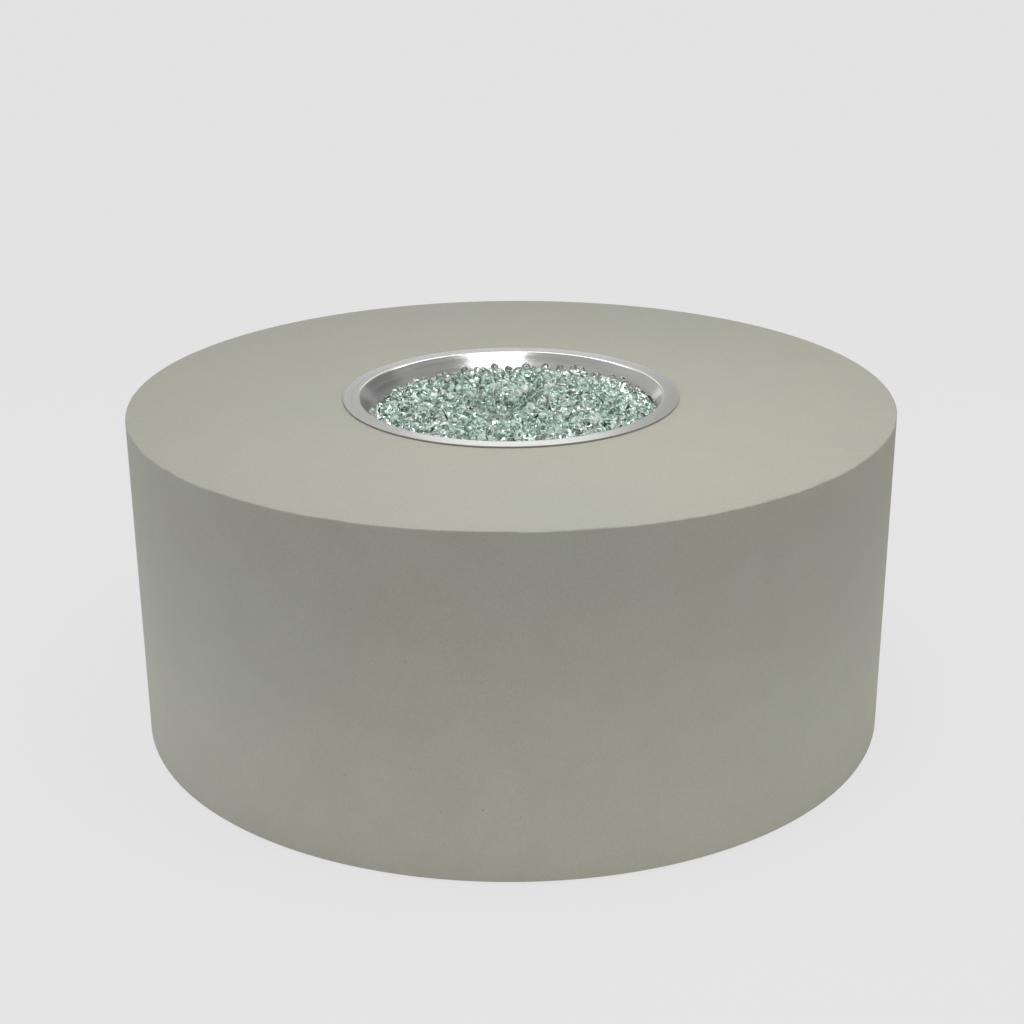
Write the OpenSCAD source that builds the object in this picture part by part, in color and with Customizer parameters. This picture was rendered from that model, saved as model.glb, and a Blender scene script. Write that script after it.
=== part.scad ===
// Round gas fire pit table: a cast drum, a drop-in burner pan with fire glass, and the gas train inside.
// Millimetres, +Z up. The origin is on the floor under the axis of the drum.
// The controls are at the rear, +Y.

/* [Drum] */
// Outside diameter of the drum
drum_d = 1067; // [940:1:1300]
// Height of the casting
drum_h = 465; // [440:1:600]
// Thickness of the side wall
wall_t = 18; // [15:1:24]
// Thickness of the top
top_t = 22; // [16:1:30]
// Radius of the outer arris of the top
edge_r = 1.5; // [1:0.5:6]
// Radius of the inside corner between wall and top
inner_fillet = 25; // [10:1:40]
// Width of the thick rim at the base
rim_w = 46; // [42:1:60]
// Height of the thick rim at the base
rim_h = 42; // [36:1:60]
// Depth of the collar round the pan opening
collar_t = 34; // [24:1:45]
// Width of the collar round the pan opening
collar_w = 40; // [25:1:60]
// Width of the gas line notch in the base
notch_w = 50; // [36:1:60]
// Height of the gas line notch in the base
notch_h = 34; // [28:0.5:40]

/* [Feet] */
// Diameter of a foot pad
pad_d = 34; // [24:1:36]
// Thickness of a foot pad
pad_t = 6; // [5:0.5:10]
// Depth of the pad's recess in the base
pad_recess = 3; // [1:0.5:4]

/* [Burner pan] */
// Outside diameter of the flange
flange_d = 471; // [440:1:540]
// Width of the flange's flat
flange_w = 20; // [18:0.5:30]
// Thickness of the pan sheet
pan_t = 1.5; // [1:0.1:2.5]
// Radius of the bend from the flange to the wall
rim_bend = 4; // [2:0.5:8]
// Flare of the wall from upright, in degrees
flare = 40; // [30:1:46]
// Depth of the pan under the flange
pan_depth = 72; // [66:1:84]
// Gap between the pan and its opening
opening_gap = 4; // [2:0.5:7]
// Thickness of the gasket under the flange
gasket_t = 1; // [1:0.5:5]

/* [Burner] */
// Diameter of the outer ring tube's centre line
ring_d = 280; // [240:1:290]
// Diameter of the inner ring tube's centre line
inner_ring_d = 140; // [110:1:150]
// Diameter of the ring tubes
tube_d = 12.7; // [11:0.1:15]
// Height of the rings over the pan floor
ring_lift = 18; // [14:1:22]
// Diameter of a gas port
port_d = 2; // [1.5:0.1:3]

/* [Fire glass] */
// Diameter of the largest glass piece
bead_d = 15; // [12:0.5:18]
// Depth of the top layer's middle under the flange, at the wall
fill_depth = 17; // [15:0.5:24]
// Rise of the glass from the wall to the middle
heap = 6; // [1:0.5:10]

/* [Control pocket] */
// Width of the pocket
pocket_w = 180; // [174:1:220]
// Height of the pocket
pocket_h = 96; // [84:1:130]
// Depth of the pocket
pocket_depth = 60; // [54:1:80]
// Height of the pocket's middle over the floor
pocket_z = 290; // [270:1:310]
// Width of the trim round the pocket and the vents
trim_w = 17; // [14:0.5:24]
// Thickness of the pocket and vent sheet
sheet_t = 1.2; // [0.8:0.1:2]

/* [Valve] */
// Position of the knob across the pocket
valve_x = -42; // [-50:1:-36]
// Diameter of the knob's skirt
knob_d = 46; // [38:1:54]
// Height of the knob
knob_h = 26; // [22:1:30]
// Diameter of the valve stem
stem_d = 8; // [6:0.5:9]
// Travel of the knob when pushed
push_travel = 4; // [2:0.5:5]
// Diameter of the valve body
valve_d = 36; // [34:1:42]

/* [Igniter] */
// Position of the button across the pocket
igniter_x = 45; // [38:1:56]
// Travel of the button
button_travel = 3; // [1:0.5:3.5]
// Diameter of the button
button_d = 11; // [8:0.5:11]

/* [Vents] */
// Width of a vent
vent_w = 150; // [100:1:200]
// Height of a vent
vent_h = 64; // [50:1:90]
// Angle of each vent from the rear, in degrees
vent_angle = 50; // [36:1:62]

/* [Gas lines] */
// Diameter of the flexible gas line
hose_d = 13; // [10:0.5:14]
// Height of the gas line's lowest point
hose_low_z = 130; // [90:1:170]
// Diameter of the spark lead
spark_lead_d = 5; // [3:0.5:6]
// Diameter of the thermocouple lead
thermo_lead_d = 3; // [2:0.5:4]

/* [Hidden] */
$fn = 96;
fit = 1;
run_fit = 0.08;
free_fit = 0.3;
drum_r = drum_d / 2;
drum_z = pad_t - pad_recess;
top_z = drum_z + drum_h;
pad_count = 6;
pad_ring_r = drum_r - rim_w / 2;

flange_r = flange_d / 2;
rim_r = flange_r - flange_w;
hole_r = rim_r + opening_gap;
pan_z = top_z + gasket_t;
floor_bend = 12;
floor_z = -pan_depth + pan_t;
wall_top = [rim_r - rim_bend * cos(flare), pan_t / 2 - rim_bend * (1 - sin(flare))];
wall_end_z = floor_z - pan_t / 2 + floor_bend * (1 - sin(flare));
wall_end_r = wall_top[0] - (wall_top[1] - wall_end_z) * tan(flare);
floor_r = wall_end_r - floor_bend * cos(flare);

ring_r = ring_d / 2;
inner_ring_r = inner_ring_d / 2;
tube_r = tube_d / 2;
tube_wall = 1.2;
spoke_r = tube_r - 1.35;
spoke_turn = 45;
hub_r = 17;
hub_h = 30;
nipple_r = 10.65;
nipple_low = floor_z - 44;
pilot_r = (ring_r + inner_ring_r) / 2;
pilot_x = 9;
mixer_top = -pan_depth - 24;
mixer_h = 62;
mixer_low = mixer_top - mixer_h;

bead_r = bead_d / 2;
bead_z = pan_t - fill_depth;
bead_limit_r = wall_inner_r(bead_z) - (bead_r + free_fit) / cos(flare);
bead_pitch = (bead_d + free_fit) / 1.54;
bead_count = floor(pow(bead_limit_r / bead_pitch, 2) - 0.5);
bead_size = rands(0.84, 1, bead_count, 42);

panel_y = drum_r - pocket_depth;
seat_r = drum_r - sheet_t - 0.2;
plate_r = seat_r + 0.1;
vent_z = pocket_z - 20;
louvres = 4;
collar_in = 16;

stem_r = stem_d / 2;
knob_r = knob_d / 2;
knob_gap = push_travel + 3;
bonnet_z = sheet_t;
body_z = bonnet_z + 4;
plug_z = body_z + free_fit;
plug_r = 9;
plug_h = 31;
port_z = plug_z + 27.5;
body_h = 44;
body_end = body_z + body_h;
boss_out = valve_d / 2 + 8;
flare_r = 7.94;
spring_r = stem_r - 0.8;

barrel_h = 58;
button_r = button_d / 2;
battery_z = 7;

hose_r = hose_d / 2;
hose_start = [valve_x, panel_y - body_end - 22.4, pocket_z];
hose_end_z = pan_z + mixer_low - 22.4;
hose_turn = 70;

steel = "#b9bcbd";
brass = "#b99a55";

// Inner radius of the pan's flared wall at a height under the flange
function wall_inner_r(z) = wall_top[0] - (wall_top[1] - z) * tan(flare) - pan_t / 2 / cos(flare);
// Height of the bed under the top layer of glass
function bed_top(r) = bead_z - bead_r - free_fit + heap * (1 - pow(r / bead_limit_r, 2));
function unit(v) = v / norm(v);
// Points along an arc
function arc(c, r, a0, a1, n) =
    [for (i = [0 : n]) c + r * [cos(a0 + (a1 - a0) * i / n), sin(a0 + (a1 - a0) * i / n)]];
// A path in a section, thickened evenly to both sides
function side(p, i) = let (
    n = len(p) - 1,
    a = p[max(i, 1)] - p[max(i - 1, 0)],
    b = p[min(i + 1, n)] - p[min(i, n - 1)],
    m = unit([-a[1], a[0]]) + unit([-b[1], b[0]])) 2 * m / (m * m);
function thicken(p, t) = concat(
    [for (i = [0 : len(p) - 1]) p[i] + side(p, i) * t / 2],
    [for (i = [len(p) - 1 : -1 : 0]) p[i] - side(p, i) * t / 2]);
// Points along a curve from a to d, pulled towards b and c
function bend(a, b, c, d, n) = [for (i = [0 : n]) let (t = i / n, u = 1 - t)
    u * u * u * a + 3 * u * u * t * b + 3 * u * t * t * c + t * t * t * d];
function tangent(p, i) = unit(p[min(i + 1, len(p) - 1)] - p[max(i - 1, 0)]);
function coil(r, h, turns, n) =
    [for (i = [0 : turns * n]) [r * cos(360 * i / n), r * sin(360 * i / n), h * i / turns / n]];

// A round tube along a path that never runs along the side direction
module swept(p, r, sides, across = [1, 0, 0]) {
    n = len(p);
    polyhedron(
        points = [for (i = [0 : n - 1]) let (t = tangent(p, i), u = unit(cross(t, across)), v = cross(t, u))
            for (k = [0 : sides - 1]) p[i] + r * (cos(360 * k / sides) * u + sin(360 * k / sides) * v)],
        faces = concat(
            [for (i = [0 : n - 2], k = [0 : sides - 1])
                let (a = i * sides + k, b = i * sides + (k + 1) % sides)
                each [[a, a + sides, b], [b, a + sides, b + sides]]],
            [[for (k = [0 : sides - 1]) k]],
            [[for (k = [sides - 1 : -1 : 0]) (n - 1) * sides + k]]));
}
module ring(r, tube) rotate_extrude() translate([r, 0]) circle(tube, $fn = 32);
module pipe(r_out, r_in, h) difference() {
    cylinder(r = r_out, h = h);
    translate([0, 0, -1]) cylinder(r = r_in, h = h + 2);
}
module hex(across, h) cylinder(d = across / cos(30), h = h, $fn = 6);
module block(size, at) translate(at - [size[0] / 2, size[1] / 2, 0]) cube(size);
// A pan head screw, its seat at z = 0 and its shank going down
module screw(d, length) difference() {
    rotate_extrude() polygon([[0, -length], [d / 2 - 0.4, -length], [d / 2, -length + 0.6], [d / 2, 0],
        [d, 0], [d, 0.3 * d], [0.8 * d, 0.52 * d], [0, 0.6 * d]]);
    translate([0, 0, 0.2 * d]) hex(0.62 * d, d);
}
// Space behind the pan's flange
module in_pan() translate([0, 0, pan_z]) children();
// Place on the pocket's back panel: z runs inward from its face and y runs up
module at_panel(x) translate([x, panel_y, pocket_z]) rotate([90, 0, 0]) children();
// Place at the middle of a vent
module at_vent(turn) rotate([0, 0, turn]) translate([0, 0, vent_z]) children();
// Places of the four screws round a trim, z running outward
module trim_screws(w, h) for (s = [-1, 1], v = [-1, 1])
    rotate([0, 0, s * asin((w + trim_w) / 2 / drum_r)])
        translate([0, plate_r + sheet_t + 0.05, v * (h + trim_w) / 2]) rotate([-90, 0, 0]) children();
// The window and the rebate cut in the wall for a trim
module wall_window(w, h) {
    translate([0, drum_r, 0])
        cube([w + 2 * sheet_t + 2 * fit, 160, h + 2 * sheet_t + 2 * fit], center = true);
    intersection() {
        difference() {
            cylinder(r = drum_r + 8, h = 400, center = true);
            cylinder(r = seat_r, h = 402, center = true);
        }
        translate([0, drum_r, 0]) cube([w + 2 * trim_w + fit, 160, h + 2 * trim_w + fit], center = true);
    }
    trim_screws(w, h) translate([0, 0, -16]) cylinder(d = 4.3, h = 20);
}
// A curved trim with a straight-sided duct going inward to a plane
module wall_trim(w, h, y_in) difference() {
    union() {
        intersection() {
            difference() {
                cylinder(r = plate_r + sheet_t, h = 400, center = true);
                cylinder(r = plate_r, h = 402, center = true);
            }
            translate([0, drum_r, 0]) cube([w + 2 * trim_w, 160, h + 2 * trim_w], center = true);
        }
        intersection() {
            cylinder(r = plate_r + sheet_t, h = 400, center = true);
            translate([0, (y_in + drum_r + 20) / 2, 0])
                cube([w + 2 * sheet_t, drum_r + 20 - y_in, h + 2 * sheet_t], center = true);
        }
    }
    trim_screws(w, h) translate([0, 0, -6]) cylinder(d = 4.3, h = 12);
}

module drum_profile() {
    under_z = drum_h - top_t;
    in_r = drum_r - wall_t;
    difference() {
        polygon([[drum_r - rim_w, 0], [drum_r, 0], [drum_r, drum_h], [hole_r, drum_h],
            [hole_r, drum_h - collar_t], [hole_r + collar_w, drum_h - collar_t],
            [hole_r + collar_w + collar_t - top_t, under_z],
            [in_r, under_z], [in_r, rim_h + rim_w - wall_t], [drum_r - rim_w, rim_h]]);
        translate([drum_r - edge_r, drum_h - edge_r]) difference() {
            square(edge_r + 1);
            circle(edge_r, $fn = 48);
        }
        translate([drum_r - 2, 2]) mirror([0, 1]) difference() {
            square(3);
            circle(2, $fn = 48);
        }
        translate([hole_r + 2, drum_h - 2]) mirror([1, 0]) difference() {
            square(3);
            circle(2, $fn = 48);
        }
    }
    translate([in_r - inner_fillet, under_z - inner_fillet]) difference() {
        square(inner_fillet + 1);
        circle(inner_fillet, $fn = 64);
    }
}
module drum_shell() color("#a6a59a") difference() {
    translate([0, 0, drum_z]) rotate_extrude($fn = 180) drum_profile();
    translate([0, 0, pocket_z]) wall_window(pocket_w, pocket_h);
    for (s = [-1, 1]) at_vent(s * vent_angle) wall_window(vent_w, vent_h);
    block([notch_w, 2 * rim_w + 40, drum_z + notch_h - notch_w / 2 + 1], [0, drum_r, -1]);
    translate([0, drum_r + 20, drum_z + notch_h - notch_w / 2]) rotate([90, 0, 0])
        cylinder(d = notch_w, h = 2 * rim_w + 40);
    for (i = [1 : pad_count]) at_pad(i) cylinder(d = pad_d + fit, h = pad_t);
}
module at_pad(i) rotate([0, 0, 360 / pad_count * (i - 1)]) translate([pad_ring_r, 0, 0]) children();
module foot_pad(i) color("#2b2b2b") at_pad(i) rotate_extrude()
    polygon([[0, 0], [pad_d / 2 - 1, 0], [pad_d / 2, 1], [pad_d / 2, pad_t], [0, pad_t]]);
module pan_gasket() color("#333333") translate([0, 0, top_z])
    rotate_extrude() translate([hole_r + 3, 0]) square([flange_r - hole_r - 7.5, gasket_t]);

module burner_pan() color(steel) in_pan() difference() {
    rotate_extrude($fn = 180) polygon(thicken(concat(
        [[flange_r, pan_t / 2]],
        arc([rim_r, pan_t / 2 - rim_bend], rim_bend, 90, 180 - flare, 8),
        arc([floor_r, floor_z - pan_t / 2 + floor_bend], floor_bend, -flare, -90, 6),
        [[nipple_r + 0.4, floor_z - pan_t / 2]]), pan_t));
    for (k = [0 : 7]) rotate([0, 0, 22.5 + 45 * k]) translate([ring_r - 15, 0, -pan_depth - 1])
        cylinder(d = 6, h = 6);
    translate([pilot_x, pilot_r, -pan_depth - 1]) cylinder(d = 8.5, h = 6);
    translate([-pilot_x, pilot_r, -pan_depth - 1]) cylinder(d = 7.5, h = 6);
    at_pilot_screws() translate([0, 0, -6]) cylinder(d = 4.4, h = 12);
}
module burner_shape(grow) {
    translate([0, 0, floor_z + ring_lift]) {
        ring(ring_r, tube_r + grow);
        ring(inner_ring_r, tube_r + grow);
        for (k = [0 : 3]) rotate([0, 0, spoke_turn + 90 * k]) rotate([0, 90, 0])
            translate([0, 0, hub_r - 4]) cylinder(r = spoke_r + grow, h = ring_r - hub_r + 4);
    }
    translate([0, 0, floor_z]) cylinder(r = hub_r + max(grow, 0), h = hub_h + grow);
}
module burner_ring() color(steel) in_pan() difference() {
    burner_shape(0);
    translate([0, 0, floor_z + ring_lift]) {
        ring(ring_r, tube_r - tube_wall);
        ring(inner_ring_r, tube_r - tube_wall);
        for (k = [0 : 3]) rotate([0, 0, spoke_turn + 90 * k]) rotate([0, 90, 0])
            cylinder(r = spoke_r - tube_wall, h = ring_r);
        for (k = [0 : 23]) rotate([0, 0, 7.5 + 15 * k]) translate([ring_r, 0, 0])
            cylinder(d = port_d, h = tube_r + 2);
        for (k = [0 : 11]) rotate([0, 0, 15 + 30 * k]) translate([inner_ring_r, 0, 0])
            cylinder(d = port_d, h = tube_r + 2);
    }
    translate([0, 0, floor_z - 1]) cylinder(r = nipple_r + 0.1, h = hub_h - 5);
}
module gas_nipple() color(brass) in_pan() translate([0, 0, nipple_low])
    pipe(nipple_r, 7.9, floor_z + 10 - nipple_low);
module pan_washer() color(steel) in_pan() translate([0, 0, -pan_depth - 2]) pipe(22, nipple_r + 0.4, 2);
module lock_nut() color(brass) in_pan() translate([0, 0, -pan_depth - 11]) difference() {
    hex(34, 9);
    translate([0, 0, -1]) cylinder(r = nipple_r + 0.1, h = 12);
}
module air_mixer() color(brass) in_pan() translate([0, 0, mixer_low]) difference() {
    rotate_extrude() polygon([[0, 0], [13, 0], [14, 1], [14, 34], [12.5, 38], [14, 42], [14, mixer_h - 1],
        [13.4, mixer_h], [0, mixer_h]]);
    translate([0, 0, -1]) cylinder(r = 8, h = mixer_h + 2);
    translate([0, 0, mixer_h - 24]) cylinder(r = nipple_r + 0.1, h = 30);
    for (k = [0 : 1]) rotate([0, 0, 90 * k]) translate([0, 20, 22]) rotate([90, 0, 0])
        cylinder(d = 9, h = 40);
}
// A flare union: its tail goes up past z = 0, its thread and nose go down
module flare_union(tail_r, tail_h, bore_r) difference() {
    union() {
        translate([0, 0, -7]) hex(19, 7);
        rotate_extrude() polygon([[0, tail_h], [tail_r, tail_h], [tail_r, -6.5], [flare_r, -6.5],
            [flare_r, -19], [6.4, -19], [4.6, -22], [0, -22]]);
    }
    translate([0, 0, -30]) cylinder(r = bore_r, h = 60);
}
// The nut over a flare union's thread, with the hose leaving downward
module flare_nut() difference() {
    translate([0, 0, -26]) hex(21, 17);
    translate([0, 0, -22.3]) cylinder(r = flare_r + 0.15, h = 20);
    translate([0, 0, -30]) cylinder(r = hose_r + 0.25, h = 20);
}
module at_mixer_end() in_pan() translate([0, 0, mixer_low]) children();
module orifice_fitting() color(brass) at_mixer_end() flare_union(7.9, 10, 1.5);
module hose_nut_burner() color(brass) at_mixer_end() flare_nut();

module at_pilot_screws() for (s = [-1, 1]) translate([s * 23, pilot_r, floor_z + 1.5]) children();
module pilot_bracket() color(steel) in_pan() difference() {
    union() {
        block([56, 20, 1.5], [0, pilot_r, floor_z]);
        block([34, 1.5, 26], [0, pilot_r + 9.25, floor_z]);
    }
    translate([pilot_x, pilot_r, floor_z - 1]) cylinder(d = 7.4, h = 5);
    translate([-pilot_x, pilot_r, floor_z - 1]) cylinder(d = 6.4, h = 5);
    at_pilot_screws() translate([0, 0, -5]) cylinder(d = 4.4, h = 10);
}
module pilot_screws() color(steel) in_pan() at_pilot_screws() screw(4, 10);
module pilot_nuts() color(steel) in_pan() at_pilot_screws() translate([0, 0, -1.5 - pan_t - 3.2])
    difference() {
        hex(7, 3.2);
        translate([0, 0, -1]) cylinder(r = 2.05, h = 6);
    }
module electrode_insulator() color("#efece2") in_pan() translate([pilot_x, pilot_r, floor_z])
    difference() {
        rotate_extrude() polygon([[0, -14], [3, -14], [3.5, -13], [3.5, 1.6], [5.5, 1.6], [5.5, 5],
            [3.5, 6], [3.5, 21], [2.6, 22], [0, 22]]);
        translate([0, 0, -20]) cylinder(r = 1.4, h = 60);
    }
module electrode_rod() color(steel) in_pan() translate([pilot_x, pilot_r, floor_z]) {
    translate([0, 0, -20]) cylinder(r = 1.25, h = 50);
    translate([0, 0, 30]) sphere(1.25, $fn = 32);
    translate([-7, 0, 30]) rotate([0, 90, 0]) cylinder(r = 1.25, h = 7);
}
module thermocouple_probe() color(brass) in_pan() translate([-pilot_x, pilot_r, floor_z]) rotate_extrude()
    polygon([[0, -16], [3, -16], [3, 1.6], [5, 1.6], [5, 5], [3, 6], [3, 22], [2.4, 23], [2.4, 33],
        [1.4, 34], [0, 34]]);

module glass_bed() color("#9cc9be") in_pan() difference() {
    rotate_extrude($fn = 120) polygon(concat(
        [[0, floor_z + free_fit], [floor_r - 2, floor_z + free_fit],
         [wall_inner_r(floor_z + 12) - 0.5, floor_z + 12],
         [wall_inner_r(bed_top(bead_limit_r)) - 0.5, bed_top(bead_limit_r)]],
        [for (i = [8 : -1 : 0]) [bead_limit_r * i / 8, bed_top(bead_limit_r * i / 8)]]));
    burner_shape(0.4);
    block([60, 26, 40], [0, pilot_r, floor_z - 1]);
    translate([0, 0, floor_z - 1]) cylinder(r = hub_r + 0.4, h = 4);
}
module fire_glass() color("#b8e2d6") in_pan() for (i = [0 : bead_count - 1]) {
    r = bead_pitch * sqrt(i + 0.5);
    d = bead_d * bead_size[i];
    translate([r * cos(137.508 * i), r * sin(137.508 * i), bed_top(r) + d / 2 + free_fit])
        sphere(d = d, $fn = 32);
}

module control_box() color(steel) difference() {
    translate([0, 0, pocket_z]) wall_trim(pocket_w, pocket_h, panel_y - sheet_t);
    block([pocket_w, 200, pocket_h], [0, panel_y + 100, pocket_z - pocket_h / 2]);
    at_panel(valve_x) {
        translate([0, 0, -5]) cylinder(d = stem_d + 6, h = 20);
        for (s = [-1, 1]) translate([0, s * (valve_d / 2 + 2.5), -5]) cylinder(d = 4.3, h = 20);
    }
    at_panel(igniter_x) translate([0, 0, -5]) cylinder(r = 11.1, h = 20);
}
module control_box_screws() color(steel) translate([0, 0, pocket_z])
    trim_screws(pocket_w, pocket_h) screw(4, 14);

module valve_bonnet() color(brass) at_panel(valve_x) difference() {
    union() {
        block([valve_d - 4, valve_d + 8, 4], [0, 0, bonnet_z]);
        for (s = [-1, 1]) translate([0, s * (valve_d / 2 + 2.5), bonnet_z]) cylinder(r = 5.5, h = 4);
        translate([0, 0, bonnet_z]) cylinder(d = valve_d, h = 4);
    }
    translate([0, 0, -5]) cylinder(r = stem_r + run_fit, h = 20);
    for (s = [-1, 1]) translate([0, s * (valve_d / 2 + 2.5), -5]) cylinder(d = 4.1, h = 20);
    for (s = [-1, 1]) translate([s * (plug_r + 4.2), 0, bonnet_z - 1]) {
        cylinder(d = 3.1, h = 10);
        cylinder(d = 6, h = 3.2);
    }
}
module bonnet_screws() color(steel) at_panel(valve_x) for (s = [-1, 1])
    translate([s * (plug_r + 4.2), 0, bonnet_z + 0.1]) {
        difference() {
            cylinder(d = 5.8, h = 2.05);
            translate([-0.4, -4, -1]) cube([0.8, 8, 1.8]);
        }
        cylinder(d = 2.9, h = 12);
    }
module valve_screws() color(steel) at_panel(valve_x) for (s = [-1, 1])
    translate([0, s * (valve_d / 2 + 2.5), 0]) rotate([180, 0, 0]) screw(4, 5);
module valve_body() color(brass) at_panel(valve_x) difference() {
    union() {
        translate([0, 0, body_z]) cylinder(d = valve_d, h = body_h);
        translate([0, 0, port_z]) rotate([90, 0, 0]) cylinder(r = 11, h = boss_out);
        translate([0, 0, port_z]) rotate([-90, 0, 0]) cylinder(r = 10, h = boss_out);
    }
    translate([0, 0, body_z - 1]) cylinder(r = plug_r + run_fit, h = plug_h + 2 * free_fit + 1);
    translate([0, 0, body_z]) cylinder(r = 4, h = body_h + 1);
    translate([0, 0, body_end - 9]) cylinder(r = 6.1, h = 10);
    translate([0, 0, port_z]) rotate([90, 0, 0]) cylinder(r = 4, h = boss_out + 1);
    translate([0, 1 - boss_out, port_z]) rotate([90, 0, 0]) translate([0, 0, -9]) cylinder(r = 6.1, h = 12);
    translate([0, boss_out - 8.3, port_z]) rotate([-90, 0, 0]) cylinder(r = 6.1, h = 12);
    for (s = [-1, 1]) translate([s * (plug_r + 4.2), 0, body_z - 1]) cylinder(d = 3, h = 14);
}
module valve_plug() color(brass) at_panel(valve_x) translate([0, 0, plug_z]) difference() {
    cylinder(r = plug_r, h = plug_h);
    translate([0, 0, -1]) cylinder(r = stem_r + run_fit, h = 25);
    block([14, 2.6, 8 + push_travel], [0, 0, -1]);
    translate([0, 0, 27.5]) cylinder(r = 2.5, h = 5);
    translate([0, 0, 27.5]) rotate([0, 90, 0]) cylinder(r = 2.5, h = 2 * plug_r, center = true);
}
module stem_spring() color(steel) at_panel(valve_x) translate([0, 0, plug_z + 8.7])
    swept(coil(spring_r, 14.6, 7, 12), 0.45, 6, [0, 0, 1]);
module valve_stem() color(steel) at_panel(valve_x) difference() {
    union() {
        translate([0, 0, -knob_gap - knob_h + 6])
            cylinder(r = stem_r, h = knob_gap + knob_h - 6 + plug_z + 8);
        block([13, 2, 6], [0, 0, plug_z + 0.6]);
    }
    block([20, 10, knob_h - 6 + 1], [0, stem_r * 0.7 + 5, -knob_gap - knob_h + 5]);
}
module at_knob() at_panel(valve_x) translate([0, 0, -knob_gap]) rotate([0, 180, 0]) children();
module control_knob() color("#1d1d1e") at_knob() difference() {
    rotate_extrude() polygon([[0, 0], [knob_r, 0], [knob_r, 3], [knob_r - 0.8, 4], [0.8 * knob_r, 6],
        [0.76 * knob_r, knob_h - 2], [0.7 * knob_r, knob_h - 0.5], [0.62 * knob_r, knob_h], [0, knob_h]]);
    for (k = [0 : 9]) rotate([0, 0, 18 + 36 * k]) translate([0.93 * knob_r, 0, 6.5])
        cylinder(r = 0.22 * knob_r, h = knob_h);
    difference() {
        translate([0, 0, -1]) cylinder(r = stem_r + 0.05, h = knob_h - 4.8);
        block([20, 10, knob_h], [0, stem_r * 0.7 + 5.05, -2]);
    }
    block([1.8, 0.45 * knob_r, 2], [0, 0.4 * knob_r, knob_h - 0.8]);
}
module at_inlet() at_panel(valve_x) translate([0, -boss_out, port_z]) rotate([-90, 0, 0]) children();
module at_outlet() at_panel(valve_x) translate([0, 0, body_end]) rotate([180, 0, 0]) children();
module inlet_fitting() color(brass) at_inlet() flare_union(6, 7.5, 2.5);
module outlet_fitting() color(brass) at_outlet() flare_union(6, 8.5, 2.5);
module hose_nut_valve() color(brass) at_outlet() flare_nut();
module at_magnet() at_panel(valve_x) translate([0, boss_out, port_z]) rotate([-90, 0, 0]) children();
module magnet_unit() color(brass) at_magnet() difference() {
    union() {
        translate([0, 0, -8]) cylinder(r = 6, h = 8.5);
        hex(17, 7);
        translate([0, 0, 6.5]) cylinder(r = 5, h = 11);
        translate([0, 0, 13]) hex(10, 8);
    }
    translate([0, 0, 12]) cylinder(r = thermo_lead_d / 2 + 0.2, h = 20);
}

module igniter_housing() color("#222224") at_panel(igniter_x) difference() {
    union() {
        translate([0, 0, -3]) cylinder(r = 13.5, h = 3);
        translate([0, 0, -1]) cylinder(r = 10.8, h = barrel_h + 1);
        translate([0, 0, barrel_h - 1]) cylinder(r = spark_lead_d / 2 + 2, h = 9);
    }
    translate([0, 0, -4]) cylinder(r = 7, h = 4 + barrel_h - 6);
    translate([0, 0, barrel_h + 2]) cylinder(r = spark_lead_d / 2 + 0.2, h = 20);
}
module igniter_nut() color("#2b2b2d") at_panel(igniter_x) translate([0, 0, sheet_t]) difference() {
    hex(28, 6);
    translate([0, 0, -1]) cylinder(r = 10.9, h = 8);
}
module igniter_cap() color("#222224") at_panel(igniter_x) difference() {
    translate([0, 0, -6]) rotate_extrude() polygon([[0, 0], [11.8, 0], [13, 1], [13, 3], [0, 3]]);
    translate([0, 0, -8]) cylinder(r = button_r + free_fit, h = 8);
}
module igniter_button() color("#8f1d1a") at_panel(igniter_x) rotate_extrude()
    polygon([[0, -10], [button_r - 1, -10], [button_r, -9], [button_r, -2.7], [6.6, -2.7], [6.6, 0.3],
        [0, 0.3]]);
module igniter_spring() color(steel) at_panel(igniter_x) translate([0, 0, 1])
    swept(coil(4, 6.4, 4, 12), 0.4, 6, [0, 0, 1]);
module igniter_battery() color("#33628f") at_panel(igniter_x) rotate_extrude()
    polygon([[0, battery_z], [1.9, battery_z], [1.9, battery_z + 1], [4.8, battery_z + 1],
        [5.2, battery_z + 1.5], [5.2, barrel_h - 6.2], [0, barrel_h - 6.2]]);

module gas_hose() color("#c2c4c4") swept(concat(
    bend(hose_start, hose_start - [0, 150, 0],
        [0, hose_turn + 140, hose_low_z], [0, hose_turn, hose_low_z], 24),
    [for (i = [1 : 8]) let (a = 90 * i / 8)
        [0, hose_turn * (1 - sin(a)), hose_low_z + hose_turn * (1 - cos(a))]],
    [[0, 0, (hose_low_z + hose_turn + hose_end_z) / 2], [0, 0, hose_end_z]]), hose_r, 12);
// A lead leaves along out, hangs slack and comes up under the pan
module slack_lead(a, out, b, drop, r) {
    span = a[1] - b[1];
    c = a + 9 * unit(out);
    d = b - [0, 0, 9];
    swept(concat([a], bend(c, c + out, d + [0, 0.2 * span, -drop], d, 24), [b]), r, 8);
}
module igniter_lead() color("#d8d4c6") {
    a = [igniter_x, panel_y - barrel_h - 2.4, pocket_z];
    b = [pilot_x, pilot_r, pan_z + floor_z - 20.4];
    slack_lead(a, [0, 0.7 * (b[1] - a[1]), 0], b, 320, spark_lead_d / 2);
}
module thermocouple_lead() color("#b87345") {
    a = [valve_x, panel_y - port_z, pocket_z + boss_out + 12.4];
    b = [-pilot_x, pilot_r, pan_z + floor_z - 16.4];
    slack_lead(a, [0, 0, 200], b, 240, thermo_lead_d / 2);
}

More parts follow.
